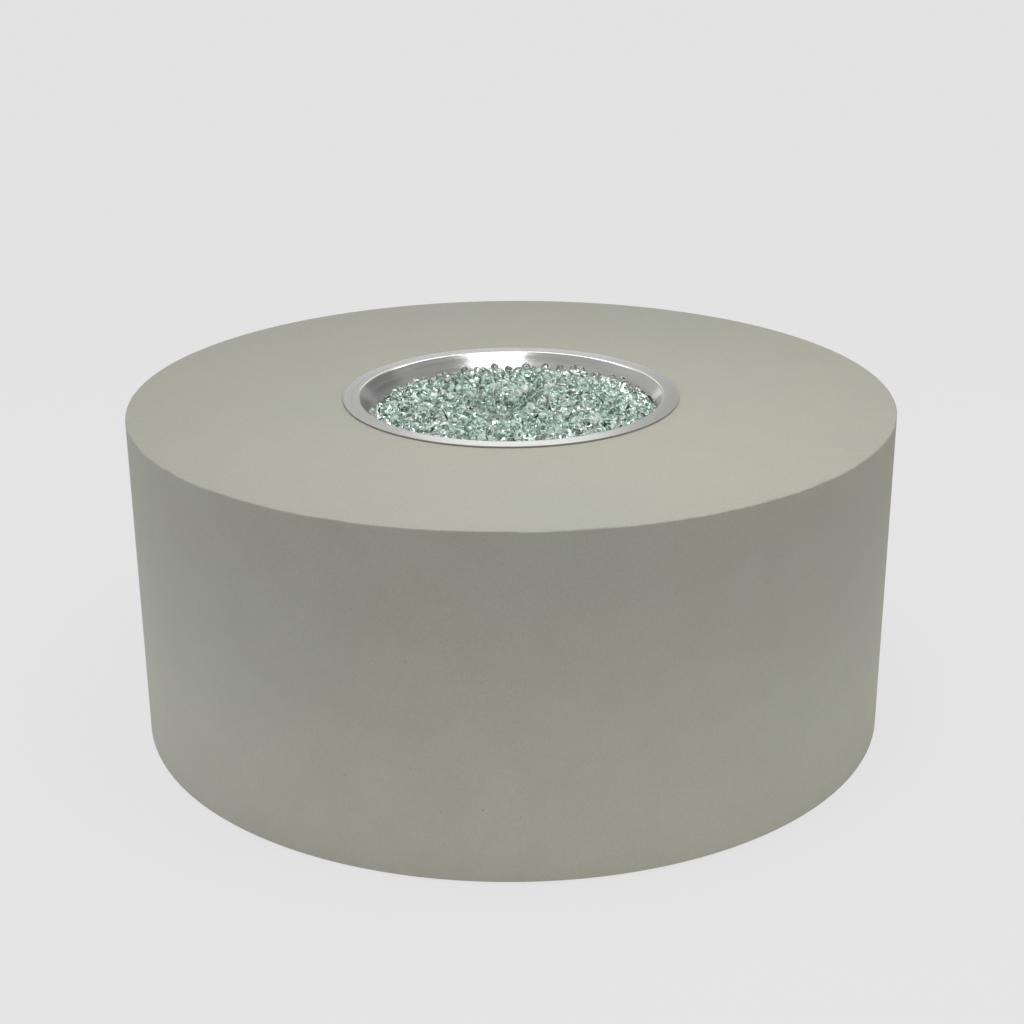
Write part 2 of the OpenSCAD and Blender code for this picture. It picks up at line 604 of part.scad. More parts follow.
module vent_grille(turn) color(steel) at_vent(turn) {
    difference() {
        wall_trim(vent_w, vent_h, drum_r - collar_in - 8);
        translate([0, drum_r, 0]) cube([vent_w, 160, vent_h], center = true);
    }
    intersection() {
        for (i = [0 : louvres - 1]) translate([0, 0, ((i + 0.5) / louvres - 0.5) * vent_h])
            rotate_extrude($fn = 180) polygon([[drum_r - 2, -6], [drum_r - 2, -4.4],
                [drum_r - collar_in, 6], [drum_r - collar_in, 4.4]]);
        translate([0, drum_r, 0]) cube([vent_w + sheet_t, 120, vent_h], center = true);
    }
}
module vent_screws() color(steel) for (s = [-1, 1]) at_vent(s * vent_angle)
    trim_screws(vent_w, vent_h) screw(4, 14);

drum_shell();
for (i = [1 : pad_count]) foot_pad(i);
pan_gasket();
burner_pan();
burner_ring();
gas_nipple();
pan_washer();
lock_nut();
air_mixer();
orifice_fitting();
hose_nut_burner();
pilot_bracket();
pilot_screws();
pilot_nuts();
electrode_insulator();
electrode_rod();
thermocouple_probe();
glass_bed();
fire_glass();
control_box();
control_box_screws();
valve_bonnet();
bonnet_screws();
valve_screws();
valve_body();
valve_plug();
stem_spring();
valve_stem();
control_knob();
inlet_fitting();
outlet_fitting();
hose_nut_valve();
magnet_unit();
igniter_housing();
igniter_nut();
igniter_cap();
igniter_button();
igniter_spring();
igniter_battery();
gas_hose();
igniter_lead();
thermocouple_lead();
vent_grille(vent_angle);  // vent_grille_left
vent_grille(-vent_angle);  // vent_grille_right
vent_screws();
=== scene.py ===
"""Looks of a round gas fire pit table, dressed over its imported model.

Every length is in metres, +Z is up, and the origin is on the floor under the axis of the drum.
"""

import logging
import math
import random
from collections.abc import Sequence
from dataclasses import dataclass, field
from enum import Enum

import bmesh
import bpy
import numpy as np
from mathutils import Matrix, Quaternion, Vector


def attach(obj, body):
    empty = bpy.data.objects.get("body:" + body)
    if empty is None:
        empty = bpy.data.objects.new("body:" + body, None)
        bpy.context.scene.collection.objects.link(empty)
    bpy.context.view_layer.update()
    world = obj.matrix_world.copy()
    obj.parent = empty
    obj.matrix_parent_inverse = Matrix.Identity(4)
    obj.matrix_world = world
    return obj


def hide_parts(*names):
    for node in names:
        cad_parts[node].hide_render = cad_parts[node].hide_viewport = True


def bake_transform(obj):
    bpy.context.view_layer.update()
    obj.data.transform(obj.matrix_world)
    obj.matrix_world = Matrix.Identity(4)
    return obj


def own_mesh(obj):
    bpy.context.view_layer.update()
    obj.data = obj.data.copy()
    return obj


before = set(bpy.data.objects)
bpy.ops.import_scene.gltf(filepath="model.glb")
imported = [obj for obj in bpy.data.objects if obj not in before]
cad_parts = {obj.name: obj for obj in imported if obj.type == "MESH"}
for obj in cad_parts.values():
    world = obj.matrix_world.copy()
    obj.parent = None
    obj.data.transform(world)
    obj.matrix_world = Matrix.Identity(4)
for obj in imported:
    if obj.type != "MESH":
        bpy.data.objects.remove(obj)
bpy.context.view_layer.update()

log = logging.getLogger("fire_pit")

Colour = tuple[float, float, float, float]
Point = tuple[float, float, float]
Pair = tuple[float, float]
# Middle and radius of a piece of glass.
Ball = tuple[float, float, float, float]
Socket = bpy.types.NodeSocket
Outputs = bpy.types.NodeOutputs
Piece = bpy.types.Object

DRUM_R = 0.5335
TOP_Z = 0.468
PAN_Z = 0.469
PANEL_Y = 0.4735
POCKET_Z = 0.290
VALVE_X = -0.042
IGNITER_X = 0.045


def grey(value: float) -> Colour:
    """A neutral linear colour of the given level, with full alpha."""
    return (value, value, value, 1.0)


class Effect(Enum):
    """Effects that several finishes share."""

    CLOUDS = "clouds"
    SPUN_LINES = "spun_lines"
    SMUDGES = "smudges"


class Stiffness(Enum):
    """How a line bends."""

    STIFF = "stiff"
    MEDIUM = "medium"
    LIMP = "limp"


class Tree:
    """A shader node tree with short calls for adding and wiring its nodes."""

    def __init__(self, tree: bpy.types.NodeTree) -> None:
        """Wraps the node tree of a material, a group or the world."""
        self.tree = tree

    def feed(self, to: bpy.types.Node, inputs: dict[str | int, object]) -> None:
        """Links inputs of a node, or sets their constants.

        Args:
            to: The node.
            inputs: Other nodes' outputs or constants, by input name or number.
        """
        for name, value in inputs.items():
            if isinstance(value, Socket):
                self.tree.links.new(value, to.inputs[name])
            else:
                to.inputs[name].default_value = value

    def add(
        self, kind: str, inputs: dict[str | int, object] | None = None, **settings: object
    ) -> bpy.types.Node:
        """Adds a node.

        Args:
            kind: Node type without its ShaderNode prefix.
            inputs: Constants or outputs by input name or number.
            **settings: Properties of the node.
        Returns:
            The new node.
        """
        made = self.tree.nodes.new("ShaderNode" + kind)
        for name, value in settings.items():
            setattr(made, name, value)
        self.feed(made, inputs or {})
        return made

    def place(self) -> Socket:
        """The object's own coordinates."""
        return self.add("TexCoord").outputs["Object"]

    def level(self, vector: Socket) -> Socket:
        """The vector with its height taken out."""
        flat = {0: vector, 1: (1.0, 1.0, 0.0)}
        return self.add("VectorMath", flat, operation="MULTIPLY").outputs[0]

    def radius(self, vector: Socket) -> Socket:
        """Distance of a place from the Z axis."""
        flat = {0: self.level(vector)}
        return self.add("VectorMath", flat, operation="LENGTH").outputs["Value"]

    def height(self, vector: Socket) -> Socket:
        """Height of a place."""
        return self.add("SeparateXYZ", {0: vector}).outputs[2]

    def noise(self, vector: Socket, scale: object, detail: float, rough: float = 0.5) -> Socket:
        """Noise round one half, with scale in features per unit and detail in octaves."""
        inputs = {"Vector": vector, "Scale": scale, "Detail": detail, "Roughness": rough}
        return self.add("TexNoise", inputs).outputs[0]

    def cells(self, vector: Socket, scale: float) -> Socket:
        """Distance from the middle of the nearest irregular cell, with scale in cells per unit."""
        inputs = {"Vector": vector, "Scale": scale, "Randomness": 1.0}
        return self.add("TexVoronoi", inputs).outputs["Distance"]

    def span(
        self, value: Socket, low: float, high: float, to_low: float = 0.0, to_high: float = 1.0
    ) -> Socket:
        """Maps a range smoothly on to another and clamps it.

        Args:
            value: The value.
            low: Start of its range.
            high: End of its range.
            to_low: Result at the start.
            to_high: Result at the end.
        Returns:
            The mapped value.
        """
        names = ("Value", "From Min", "From Max", "To Min", "To Max")
        inputs = dict(zip(names, (value, low, high, to_low, to_high)))
        return self.add("MapRange", inputs, interpolation_type="SMOOTHSTEP").outputs[0]

    def between(self, mask: Socket, ends: Pair) -> Socket:
        """Maps a mask smoothly on to the range between two ends."""
        return self.span(mask, 0.0, 1.0, *ends)

    def calc(self, operation: str, a: object, b: object) -> Socket:
        """Result of a sum, product or other calculation, by Blender's name for it."""
        return self.add("Math", {0: a, 1: b}, operation=operation).outputs[0]

    def mix(self, factor: object, a: object, b: object, how: str = "MIX") -> Socket:
        """Mixes two colours, where factor is the share of b and how is the blend type."""
        inputs = {0: factor, 6: a, 7: b}
        return self.add("Mix", inputs, data_type="RGBA", blend_type=how).outputs[2]

    def seen_rays(self) -> Socket:
        """Picks the rays that show the surroundings.

        Returns:
            One for camera, glossy and transmission rays, and zero for the rest.
        """
        path = self.add("LightPath").outputs
        shown = self.calc("MAXIMUM", path["Is Camera Ray"], path["Is Glossy Ray"])
        return self.calc("MAXIMUM", shown, path["Is Transmission Ray"])

    def bump(self, height: Socket, strength: float, depth: float) -> Socket:
        """Turns a height into a normal, where depth is the real depth of a height of one."""
        inputs = {"Height": height, "Strength": strength, "Distance": depth}
        return self.add("Bump", inputs).outputs[0]

    def group(self, which: Effect, place: Socket, **inputs: float) -> Outputs:
        """Adds a shared effect with its constants, and gives its outputs."""
        given = {"Vector": place, **inputs}
        return self.add("Group", given, node_tree=EFFECTS[which].tree()).outputs


@dataclass(frozen=True)
class SharedEffect:
    """A node group that gives masks to several finishes.

    Args:
        name: Name of the group.
        inputs: Float inputs with their usual values.
        outputs: Names of the float outputs.
    """

    name: str
    inputs: tuple[tuple[str, float], ...]
    outputs: tuple[str, ...]

    def tree(self) -> bpy.types.NodeTree:
        """Makes the group at its first use.

        Returns:
            The group.
        """
        found = bpy.data.node_groups.get(self.name)
        if found:
            return found
        group = bpy.data.node_groups.new(self.name, "ShaderNodeTree")
        group.interface.new_socket("Vector", in_out="INPUT", socket_type="NodeSocketVector")
        for name, usual in self.inputs:
            socket = group.interface.new_socket(name, in_out="INPUT", socket_type="NodeSocketFloat")
            socket.default_value = usual
        for name in self.outputs:
            group.interface.new_socket(name, in_out="OUTPUT", socket_type="NodeSocketFloat")
        tree = Tree(group)
        start = group.nodes.new("NodeGroupInput")
        end = group.nodes.new("NodeGroupOutput")
        tree.feed(end, self.wire(tree, start.outputs))
        return group

    def wire(self, tree: Tree, given: Outputs) -> dict[str, Socket]:
        """Fills the group from what it is given, and names a socket for each output."""
        raise NotImplementedError


class Clouds(SharedEffect):
    """Broad mottling and fine grain of a cast or moulded material."""

    def wire(self, tree: Tree, given: Outputs) -> dict[str, Socket]:
        """See SharedEffect.wire."""
        broad = tree.noise(given["Vector"], given["Broad"], detail=4.0, rough=0.55)
        fine = tree.noise(given["Vector"], given["Fine"], detail=2.0, rough=0.6)
        return {
            "Cloud": tree.span(broad, low=0.28, high=0.72),
            "Grain": tree.span(fine, low=0.25, high=0.75),
        }


class SpunLines(SharedEffect):
    """Fine lines that run round an axis along Z, as a lathe or a rolled sheet leaves them."""

    def wire(self, tree: Tree, given: Outputs) -> dict[str, Socket]:
        """See SharedEffect.wire."""
        flat = {0: tree.level(given["Vector"])}
        around = tree.add("VectorMath", flat, operation="NORMALIZE").outputs[0]
        way = tree.add("SeparateXYZ", {0: around}).outputs
        profile = tree.calc("SUBTRACT", tree.radius(given["Vector"]), tree.height(given["Vector"]))
        across = tree.calc("MULTIPLY", profile, given["Lines"])
        run = [tree.calc("MULTIPLY", way[k], given["Length"]) for k in (0, 1)]
        path = tree.add("CombineXYZ", {0: across, 1: run[0], 2: run[1]}).outputs[0]
        lines = tree.noise(path, 1.0, detail=3.0, rough=0.7)
        return {"Lines": tree.span(lines, low=0.25, high=0.75)}


class Smudges(SharedEffect):
    """Patches of handling and weather on a smooth surface."""

    def wire(self, tree: Tree, given: Outputs) -> dict[str, Socket]:
        """See SharedEffect.wire."""
        specks_across = 14.0
        speck_scale = tree.calc("MULTIPLY", given["Scale"], specks_across)
        soft = tree.noise(given["Vector"], given["Scale"], detail=5.0, rough=0.6)
        specks = tree.noise(given["Vector"], speck_scale, detail=2.0)
        soft_mask = tree.span(soft, low=0.42, high=0.72)
        speck_mask = tree.span(specks, low=0.2, high=0.7)
        return {"Smudge": tree.calc("MULTIPLY", soft_mask, speck_mask)}


EFFECTS: dict[Effect, SharedEffect] = {
    Effect.CLOUDS: Clouds("clouds", (("Broad", 6.0), ("Fine", 400.0)), ("Cloud", "Grain")),
    Effect.SPUN_LINES: SpunLines("spun_lines", (("Lines", 800.0), ("Length", 1.6)), ("Lines",)),
    Effect.SMUDGES: Smudges("smudges", (("Scale", 30.0),), ("Smudge",)),
}


def packed(name: str) -> Piece:
    """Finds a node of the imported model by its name."""
    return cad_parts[name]


@dataclass(frozen=True)
class Finish:
    """A finish that makes one material.

    Args:
        name: Name of the finish.
    """

    name: str

    def material(self) -> bpy.types.Material:
        """Makes the material at its first use.

        Returns:
            The material.
        """
        own = self.name + "_finish"
        found = bpy.data.materials.get(own)
        if found:
            return found
        made = bpy.data.materials.new(own)
        made.use_nodes = True
        self.wire(Tree(made.node_tree), made.node_tree.nodes["Principled BSDF"])
        return made

    def wire(self, tree: Tree, shader: bpy.types.Node) -> None:
        """Wires the material's tree up to its Principled node."""
        raise NotImplementedError

    def dress(self, piece: Piece) -> Piece:
        """Puts the finish on a piece.

        Args:
            piece: A mesh object.
        Returns:
            The same piece.
        """
        piece.data.materials.clear()
        piece.data.materials.append(self.material())
        return piece

    def on(self, *names: str) -> list[Piece]:
        """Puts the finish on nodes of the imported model, and gives their objects."""
        return [self.dress(packed(name)) for name in names]


@dataclass(frozen=True)
class Concrete(Finish):
    """Cast concrete with faint clouds, fine grain, a few pinholes with painted shade in them, a
    paler arris in patches, and painted light from the floor on its side.

    Args:
        warm: One tone of the clouds.
        cool: Their other tone.
        arris_tone: Paler tone of the arris.
        pinhole_shade: Tone of a pinhole, painted darker for the shade inside it.
        patch_level: Levels of the darkest and the palest patch.
        grain_level: What the grain adds to them.
        painted_floor_light: Painted light from the floor that the side adds at its foot and at its
            top, paler at the foot and darker at the top.
        usual: Level of the top.
        arris: How far the paler arris reaches from the edge, and where it is full.
        skin: How far inside the drum's radius the side begins, and where it is full.
        pit_depth: Depth of a pinhole against the grain's.
        gloss: Roughness of the smoothest and the roughest patch.
    """

    warm: Colour = (0.416, 0.414, 0.346, 1.0)
    cool: Colour = (0.408, 0.410, 0.348, 1.0)
    arris_tone: Colour = (0.47, 0.47, 0.405, 1.0)
    pinhole_shade: Colour = (0.31, 0.31, 0.265, 1.0)
    patch_level: Pair = (0.972, 1.013)
    grain_level: Pair = (-0.045, 0.045)
    painted_floor_light: Pair = (0.145, -0.09)
    usual: float = 0.965
    arris: Pair = (0.003, 0.0005)
    skin: Pair = (0.003, 0.001)
    pit_depth: float = 4.0
    gloss: Pair = (0.78, 0.92)

    def wire(self, tree: Tree, shader: bpy.types.Node) -> None:
        """See Finish.wire."""
        place = tree.place()
        radius, height = tree.radius(place), tree.height(place)
        clouds = tree.group(Effect.CLOUDS, place, Broad=3.2, Fine=520.0)
        patches = tree.group(Effect.CLOUDS, place, Broad=13.0, Fine=1400.0)
        patch_level = tree.between(patches["Cloud"], self.patch_level)
        level = tree.calc("ADD", patch_level, tree.between(clouds["Grain"], self.grain_level))
        # Painted light: the side is painted paler towards its foot and darker towards its top, for
        # the light that the floor throws up on it.
        side = tree.span(radius, *(DRUM_R - inset for inset in self.skin))
        painted_floor_light = tree.calc("MULTIPLY", side, tree.span(height, 0.0, TOP_Z, *self.painted_floor_light))
        level = tree.calc("MULTIPLY", level, tree.calc("ADD", painted_floor_light, self.usual))
        shade = tree.add("CombineColor", {"Red": level, "Green": level, "Blue": level}).outputs[0]
        colour = tree.mix(clouds["Cloud"], self.warm, self.cool)
        colour = tree.mix(1.0, colour, shade, "MULTIPLY")
        spots = tree.cells(place, scale=46.0)
        hole = tree.span(spots, low=0.03, high=0.075, to_low=1.0, to_high=0.0)
        rare = tree.span(tree.noise(place, scale=60.0, detail=1.0), low=0.56, high=0.6)
        pits = tree.calc("MULTIPLY", hole, rare)
        # Painted shade: pinholes are painted darker for the shade that falls inside them.
        colour = tree.mix(pits, colour, self.pinhole_shade)
        # The arris is paler, in patches.
        near_side = tree.span(radius, *(DRUM_R - inset for inset in self.arris))
        near_top = tree.span(height, *(TOP_Z - inset for inset in self.arris))
        edge = tree.calc("MULTIPLY", near_side, near_top)
        arris_patches = tree.span(patches["Cloud"], low=0.35, high=0.8, to_low=0.0, to_high=0.6)
        colour = tree.mix(tree.calc("MULTIPLY", edge, arris_patches), colour, self.arris_tone)
        relief = tree.calc("ADD", clouds["Grain"], patches["Grain"])
        relief = tree.calc("SUBTRACT", relief, tree.calc("MULTIPLY", pits, self.pit_depth))
        look = {
            "Base Color": colour,
            "Roughness": tree.between(patches["Cloud"], self.gloss),
            "Specular IOR Level": 0.3,
            "Normal": tree.bump(relief, strength=0.35, depth=0.0003),
        }
        tree.feed(shader, look)


@dataclass(frozen=True)
class SpunSteel(Finish):
    """Sheet steel with lines round the drum's axis.

    Args:
        bright: Tone of a polished line.
        dull: Tone of a dull line.
        lines: Lines per metre.
        length: How fast a line changes along itself.
        gloss: Lowest and highest roughness of a line.
        soiled: Roughness that smudges add.
        drawn: How far the brushing draws reflections out.
        across: Share of a full turn that draws them across the lines.
    """

    bright: Colour = (0.60, 0.60, 0.592, 1.0)
    dull: Colour = (0.50, 0.50, 0.495, 1.0)
    lines: float = 900.0
    length: float = 0.8
    gloss: Pair = (0.16, 0.24)
    soiled: float = 0.03
    drawn: float = 0.5
    across: float = 0.25

    def wire(self, tree: Tree, shader: bpy.types.Node) -> None:
        """See Finish.wire."""
        place = tree.place()
        spun = tree.group(Effect.SPUN_LINES, place, Lines=self.lines, Length=self.length)
        lines = spun["Lines"]
        smudge = tree.group(Effect.SMUDGES, place, Scale=16.0)["Smudge"]
        soil = tree.calc("MULTIPLY", smudge, self.soiled)
        look = {
            "Base Color": tree.mix(lines, self.dull, self.bright),
            "Roughness": tree.calc("ADD", tree.between(lines, self.gloss), soil),
            "Metallic": 1.0,
            "Anisotropic": self.drawn,
            "Anisotropic Rotation": self.across,
            "Tangent": tree.add("Tangent", direction_type="RADIAL", axis="Z").outputs[0],
            "Normal": tree.bump(lines, strength=0.05, depth=0.00006),
        }
        tree.feed(shader, look)


@dataclass(frozen=True)
class Metal(Finish):
    """Turned or drawn metal with smudges.

    Args:
        bright: Its clean tone.
        dull: Its smudged tone.
        gloss: Lowest and highest roughness of clean metal.
        scale: Smudges per metre.
        mottle: Clouds per smudge.
        soiled: Roughness that smudges add.
    """

    bright: Colour = (0.66, 0.66, 0.65, 1.0)
    dull: Colour = (0.47, 0.47, 0.465, 1.0)
    gloss: Pair = (0.2, 0.42)
    scale: float = 60.0
    mottle: float = 3.0
    soiled: float = 0.12

    def wire(self, tree: Tree, shader: bpy.types.Node) -> None:
        """See Finish.wire."""
        place = tree.place()
        smudge = tree.group(Effect.SMUDGES, place, Scale=self.scale)["Smudge"]
        clouds = tree.group(Effect.CLOUDS, place, Broad=self.scale * self.mottle, Fine=1800.0)
        soil = tree.calc("MULTIPLY", smudge, self.soiled)
        look = {
            "Base Color": tree.mix(smudge, self.bright, self.dull),
            "Roughness": tree.calc("ADD", tree.between(clouds["Cloud"], self.gloss), soil),
            "Metallic": 1.0,
            "Normal": tree.bump(clouds["Grain"], strength=0.1, depth=0.00005),
        }
        tree.feed(shader, look)


@dataclass(frozen=True)
class Moulded(Finish):
    """Plastic, rubber, silicone, glaze or print, with grain and a little dust.

    Args:
        tone: Its clean tone.
        dusty: Its dusty tone.
        gloss: Lowest and highest roughness.
        relief: Depth of its grain.
    """

    tone: Colour = (0.02, 0.02, 0.021, 1.0)
    dusty: Colour = (0.06, 0.06, 0.058, 1.0)
    gloss: Pair = (0.35, 0.55)
    relief: float = 0.00008

    def wire(self, tree: Tree, shader: bpy.types.Node) -> None:
        """See Finish.wire."""
        place = tree.place()
        clouds = tree.group(Effect.CLOUDS, place, Broad=45.0, Fine=1500.0)
        smudge = tree.group(Effect.SMUDGES, place, Scale=40.0)["Smudge"]
        look = {
            "Base Color": tree.mix(smudge, self.tone, self.dusty),
            "Roughness": tree.between(clouds["Cloud"], self.gloss),
            "Normal": tree.bump(clouds["Grain"], strength=0.25, depth=self.relief),
        }
        tree.feed(shader, look)


@dataclass(frozen=True)
class ClearGlass(Finish):
    """Tumbled glass, each piece with a tint of its own from the mesh.

    Args:
        clear: The palest tint.
        deep: The deepest tint.
        tint: Name of the mesh attribute that chooses between them.
        haze: Roughness of clean and of hazy glass.
    """

    clear: Colour = (0.952, 0.999, 0.976, 1.0)
    deep: Colour = (0.83, 0.963, 0.900, 1.0)
    tint: str = "tint"
    haze: Pair = (0.0, 0.04)

    def wire(self, tree: Tree, shader: bpy.types.Node) -> None:
        """See Finish.wire."""
        share = tree.add("Attribute", attribute_name=self.tint).outputs["Fac"]
        smudge = tree.group(Effect.SMUDGES, tree.place(), Scale=90.0)["Smudge"]
        look = {
            "Base Color": tree.mix(share, self.clear, self.deep),
            "Roughness": tree.between(smudge, self.haze),
            "Transmission Weight": 1.0,
            "IOR": 1.5,
        }
        tree.feed(shader, look)


@dataclass(frozen=True)
class PackedGlass(Finish):
    """The glass below the top layers, where little light comes back, with painted shade in the gaps
    between its pieces.

    Args:
        light: Tone of a piece.
        gap_shade: Painted shade of the gaps between pieces.
        gloss: Lowest and highest roughness.
    """

    light: Colour = (0.93, 0.95, 0.935, 1.0)
    gap_shade: Colour = (0.06, 0.11, 0.09, 1.0)
    gloss: Pair = (0.08, 0.22)

    def wire(self, tree: Tree, shader: bpy.types.Node) -> None:
        """See Finish.wire."""
        place = tree.place()
        distance = tree.cells(place, scale=78.0)
        # Painted shade: the gaps between the cells are painted dark for the shade between pieces.
        gap = tree.span(distance, low=0.25, high=0.75)
        clouds = tree.group(Effect.CLOUDS, place, Broad=30.0, Fine=300.0)
        crown = tree.calc("SUBTRACT", 1.0, distance)
        look = {
            "Base Color": tree.mix(gap, self.light, self.gap_shade),
            "Roughness": tree.between(clouds["Cloud"], self.gloss),
            "Normal": tree.bump(crown, strength=0.9, depth=0.004),
        }
        tree.feed(shader, look)


@dataclass(frozen=True)
class StudioFloor(Finish):
    """A pale floor that the camera sees near its own level, with a soft shadow left on it.

    Inside the drum it keeps to the light that falls there.

    Args:
        albedo: Its tone where light falls on it.
        seen: Its own level.
        even: Share of its own level in what is seen.
        inside: Radii between which that share begins.
    """

    albedo: Colour = grey(0.86)
    seen: Colour = grey(0.790)
    even: float = 0.9
    inside: Pair = (DRUM_R - 0.03, DRUM_R - 0.004)

    def wire(self, tree: Tree, shader: bpy.types.Node) -> None:
        """See Finish.wire."""
        tree.feed(shader, {"Base Color": self.albedo, "Roughness": 0.9, "Specular IOR Level": 0.0})
        glow = tree.add("Emission", {"Color": self.seen, "Strength": 1.0})
        outside = tree.span(tree.radius(tree.place()), *self.inside, 0.0, self.even)
        share = tree.calc("MULTIPLY", tree.seen_rays(), outside)
        mixed = tree.add("MixShader", {0: share, 1: shader.outputs[0], 2: glow.outputs[0]})
        tree.feed(tree.tree.nodes["Material Output"], {"Surface": mixed.outputs[0]})


@dataclass(frozen=True)
class Card(Finish):
    """A card of the studio that metal and glass show at one level.

    Args:
        level: That level.
    """

    level: float

    def wire(self, tree: Tree, shader: bpy.types.Node) -> None:
        """See Finish.wire."""
        look = {
            "Base Color": grey(0.0),
            "Specular IOR Level": 0.0,
            "Emission Color": grey(self.level),
            "Emission Strength": 1.0,
        }
        tree.feed(shader, look)


CONCRETE = Concrete("cast_concrete")
PAN_STEEL = SpunSteel("spun_pan_steel")
SHEET_STEEL = SpunSteel(
    "rolled_sheet_steel", lines=1100.0, length=5.0, gloss=(0.26, 0.42), soiled=0.1
)
STEEL = Metal("stainless_steel")
BURNER_STEEL = Metal(
    "burner_steel", bright=(0.50, 0.49, 0.47, 1.0), dull=(0.28, 0.25, 0.23, 1.0), gloss=(0.3, 0.5)
)
FLEX_STEEL = Metal("flexible_steel", gloss=(0.18, 0.34), scale=90.0)
BRASS = Metal(
    "brass", bright=(0.66, 0.50, 0.23, 1.0), dull=(0.40, 0.28, 0.13, 1.0), gloss=(0.22, 0.4)
)
COPPER = Metal("copper", bright=(0.72, 0.38, 0.24, 1.0), dull=(0.38, 0.19, 0.12, 1.0), scale=110.0)
RUBBER = Moulded("rubber", tone=(0.018, 0.018, 0.018, 1.0), gloss=(0.65, 0.85), relief=0.00015)
BLACK_PLASTIC = Moulded("black_plastic")
RED_PLASTIC = Moulded(
    "red_plastic", tone=(0.30, 0.014, 0.012, 1.0), dusty=(0.36, 0.05, 0.045, 1.0)
)
CERAMIC = Moulded(
    "ceramic", tone=(0.80, 0.77, 0.70, 1.0), dusty=(0.62, 0.58, 0.52, 1.0), gloss=(0.15, 0.3)
)
SILICONE = Moulded(
    "silicone", tone=(0.62, 0.58, 0.48, 1.0), dusty=(0.50, 0.46, 0.38, 1.0), gloss=(0.45, 0.6)
)
BATTERY = Moulded(
    "battery_sleeve", tone=(0.03, 0.12, 0.27, 1.0), dusty=(0.06, 0.16, 0.30, 1.0), gloss=(0.2, 0.35)
)
GLASS = ClearGlass("fire_glass")
BED = PackedGlass("packed_glass")
FLOOR = StudioFloor("studio_floor")
DARK_CARD = Card("dark_card", level=0.30)
DIM_CARD = Card("dim_card", level=0.46)
GREY_CARD = Card("grey_card", level=0.62)
WHITE_CARD = Card("white_card", level=1.15)
PALE_CARD = Card("pale_card", level=1.9)
WINDOW_CARD = Card("window_card", level=5.5)
GLINT_CARD = Card("glint_card", level=8.5)


def link(name: str, data: bpy.types.ID) -> bpy.types.Object:
    """Adds an object to the scene.

    Args:
        name: Its name.
        data: Its mesh, lamp or camera.
    Returns:
        The object.
    """
    made = bpy.data.objects.new(name, data)
    bpy.context.scene.collection.objects.link(made)
    return made


def new_piece(
    name: str, points: Sequence[Sequence[float]], faces: Sequence[Sequence[int]]
) -> Piece:
    """Makes a smooth mesh object.

    Args:
        name: Name of the piece.
        points: Its vertices.
        faces: The vertex numbers of each face.
    Returns:
        The object, linked to the scene.
    """
    mesh = bpy.data.meshes.new(name)
    mesh.from_pydata([tuple(point) for point in points], [], faces)
    mesh.shade_smooth()
    return link(name, mesh)


def ring_faces(rings: int, sides: int) -> list[tuple[int, ...]]:
    """Joins closed rings of vertices, one after another.

    Args:
        rings: Number of bands between the rings.
        sides: Vertices of a ring.
    Returns:
        The faces.
    """
    faces = []
    for ring in range(rings):
        for k in range(sides):
            a, b = ring * sides + k, ring * sides + (k + 1) % sides
            faces.append((a, b, b + sides, a + sides))
    return faces


def bezier(a: Vector, b: Vector, c: Vector, d: Vector, steps: int = 24) -> list[Vector]:
    """Samples a cubic curve.

    Args:
        a: Start.
        b: First handle.
        c: Second handle.
        d: End.
        steps: Number of intervals.
    Returns:
        The points.
    """
    points = []
    for i in range(steps + 1):
        t = i / steps
        u = 1 - t
        points.append(u**3 * a + 3 * u * u * t * b + 3 * u * t * t * c + t**3 * d)
    return points


def resample(points: list[Vector], step: float) -> list[Vector]:
    """Spreads points evenly along a path.

    Args:
        points: The path.
        step: Distance wanted between points.
    Returns:
        The new points, with the same ends.
    """
    stations = [0.0]
    for a, b in zip(points, points[1:]):
        stations.append(stations[-1] + (b - a).length)
    count = max(2, round(stations[-1] / step))
    wanted = np.linspace(0.0, stations[-1], count + 1)
    table = np.array([p[:] for p in points])
    return [Vector([float(np.interp(s, stations, table[:, k])) for k in range(3)]) for s in wanted]


def tube(name: str, path: list[Vector], radii: list[float], sides: int) -> Piece:
    """Sweeps a round section along a path.

    Args:
        name: Name of the piece.
        path: Centre line.
        radii: Radius at each point.
        sides: Corners of the section.
    Returns:
        The closed tube.
    """
    before, after = [path[0], *path[:-1]], [*path[1:], path[-1]]
    tangents = [(b - a).normalized() for a, b in zip(before, after)]
    normal = tangents[0].orthogonal().normalized()
    points: list[Vector] = []
    for centre, along, radius in zip(path, tangents, radii):
        normal = (normal - along * normal.dot(along)).normalized()
        other = along.cross(normal)
        for k in range(sides):
            turn = math.tau * k / sides
            points.append(centre + radius * (math.cos(turn) * normal + math.sin(turn) * other))
    faces = ring_faces(len(path) - 1, sides)
    first, last = len(points), len(points) + 1
    end = first - sides
    for k in range(sides):
        beside = (k + 1) % sides
        faces += [(first, beside, k), (last, end + k, end + beside)]
    return new_piece(name, [*points, path[0], path[-1]], faces)


class Assembly:
    """A sub-assembly of the table, or the stage round it."""

    def build(self) -> list[Piece]:
        """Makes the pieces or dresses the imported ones, and gives them all."""
        raise NotImplementedError


@dataclass
class Drum(Assembly):
    """The casting, its feet and the gasket under the pan's flange.

    Args:
        pads: Number of foot pads.
    """

    pads: int = 6

    def build(self) -> list[Piece]:
        """See Assembly.build."""
        feet = [f"foot_pad_{i + 1}" for i in range(self.pads)]
        return CONCRETE.on("drum_shell") + RUBBER.on("pan_gasket", *feet)


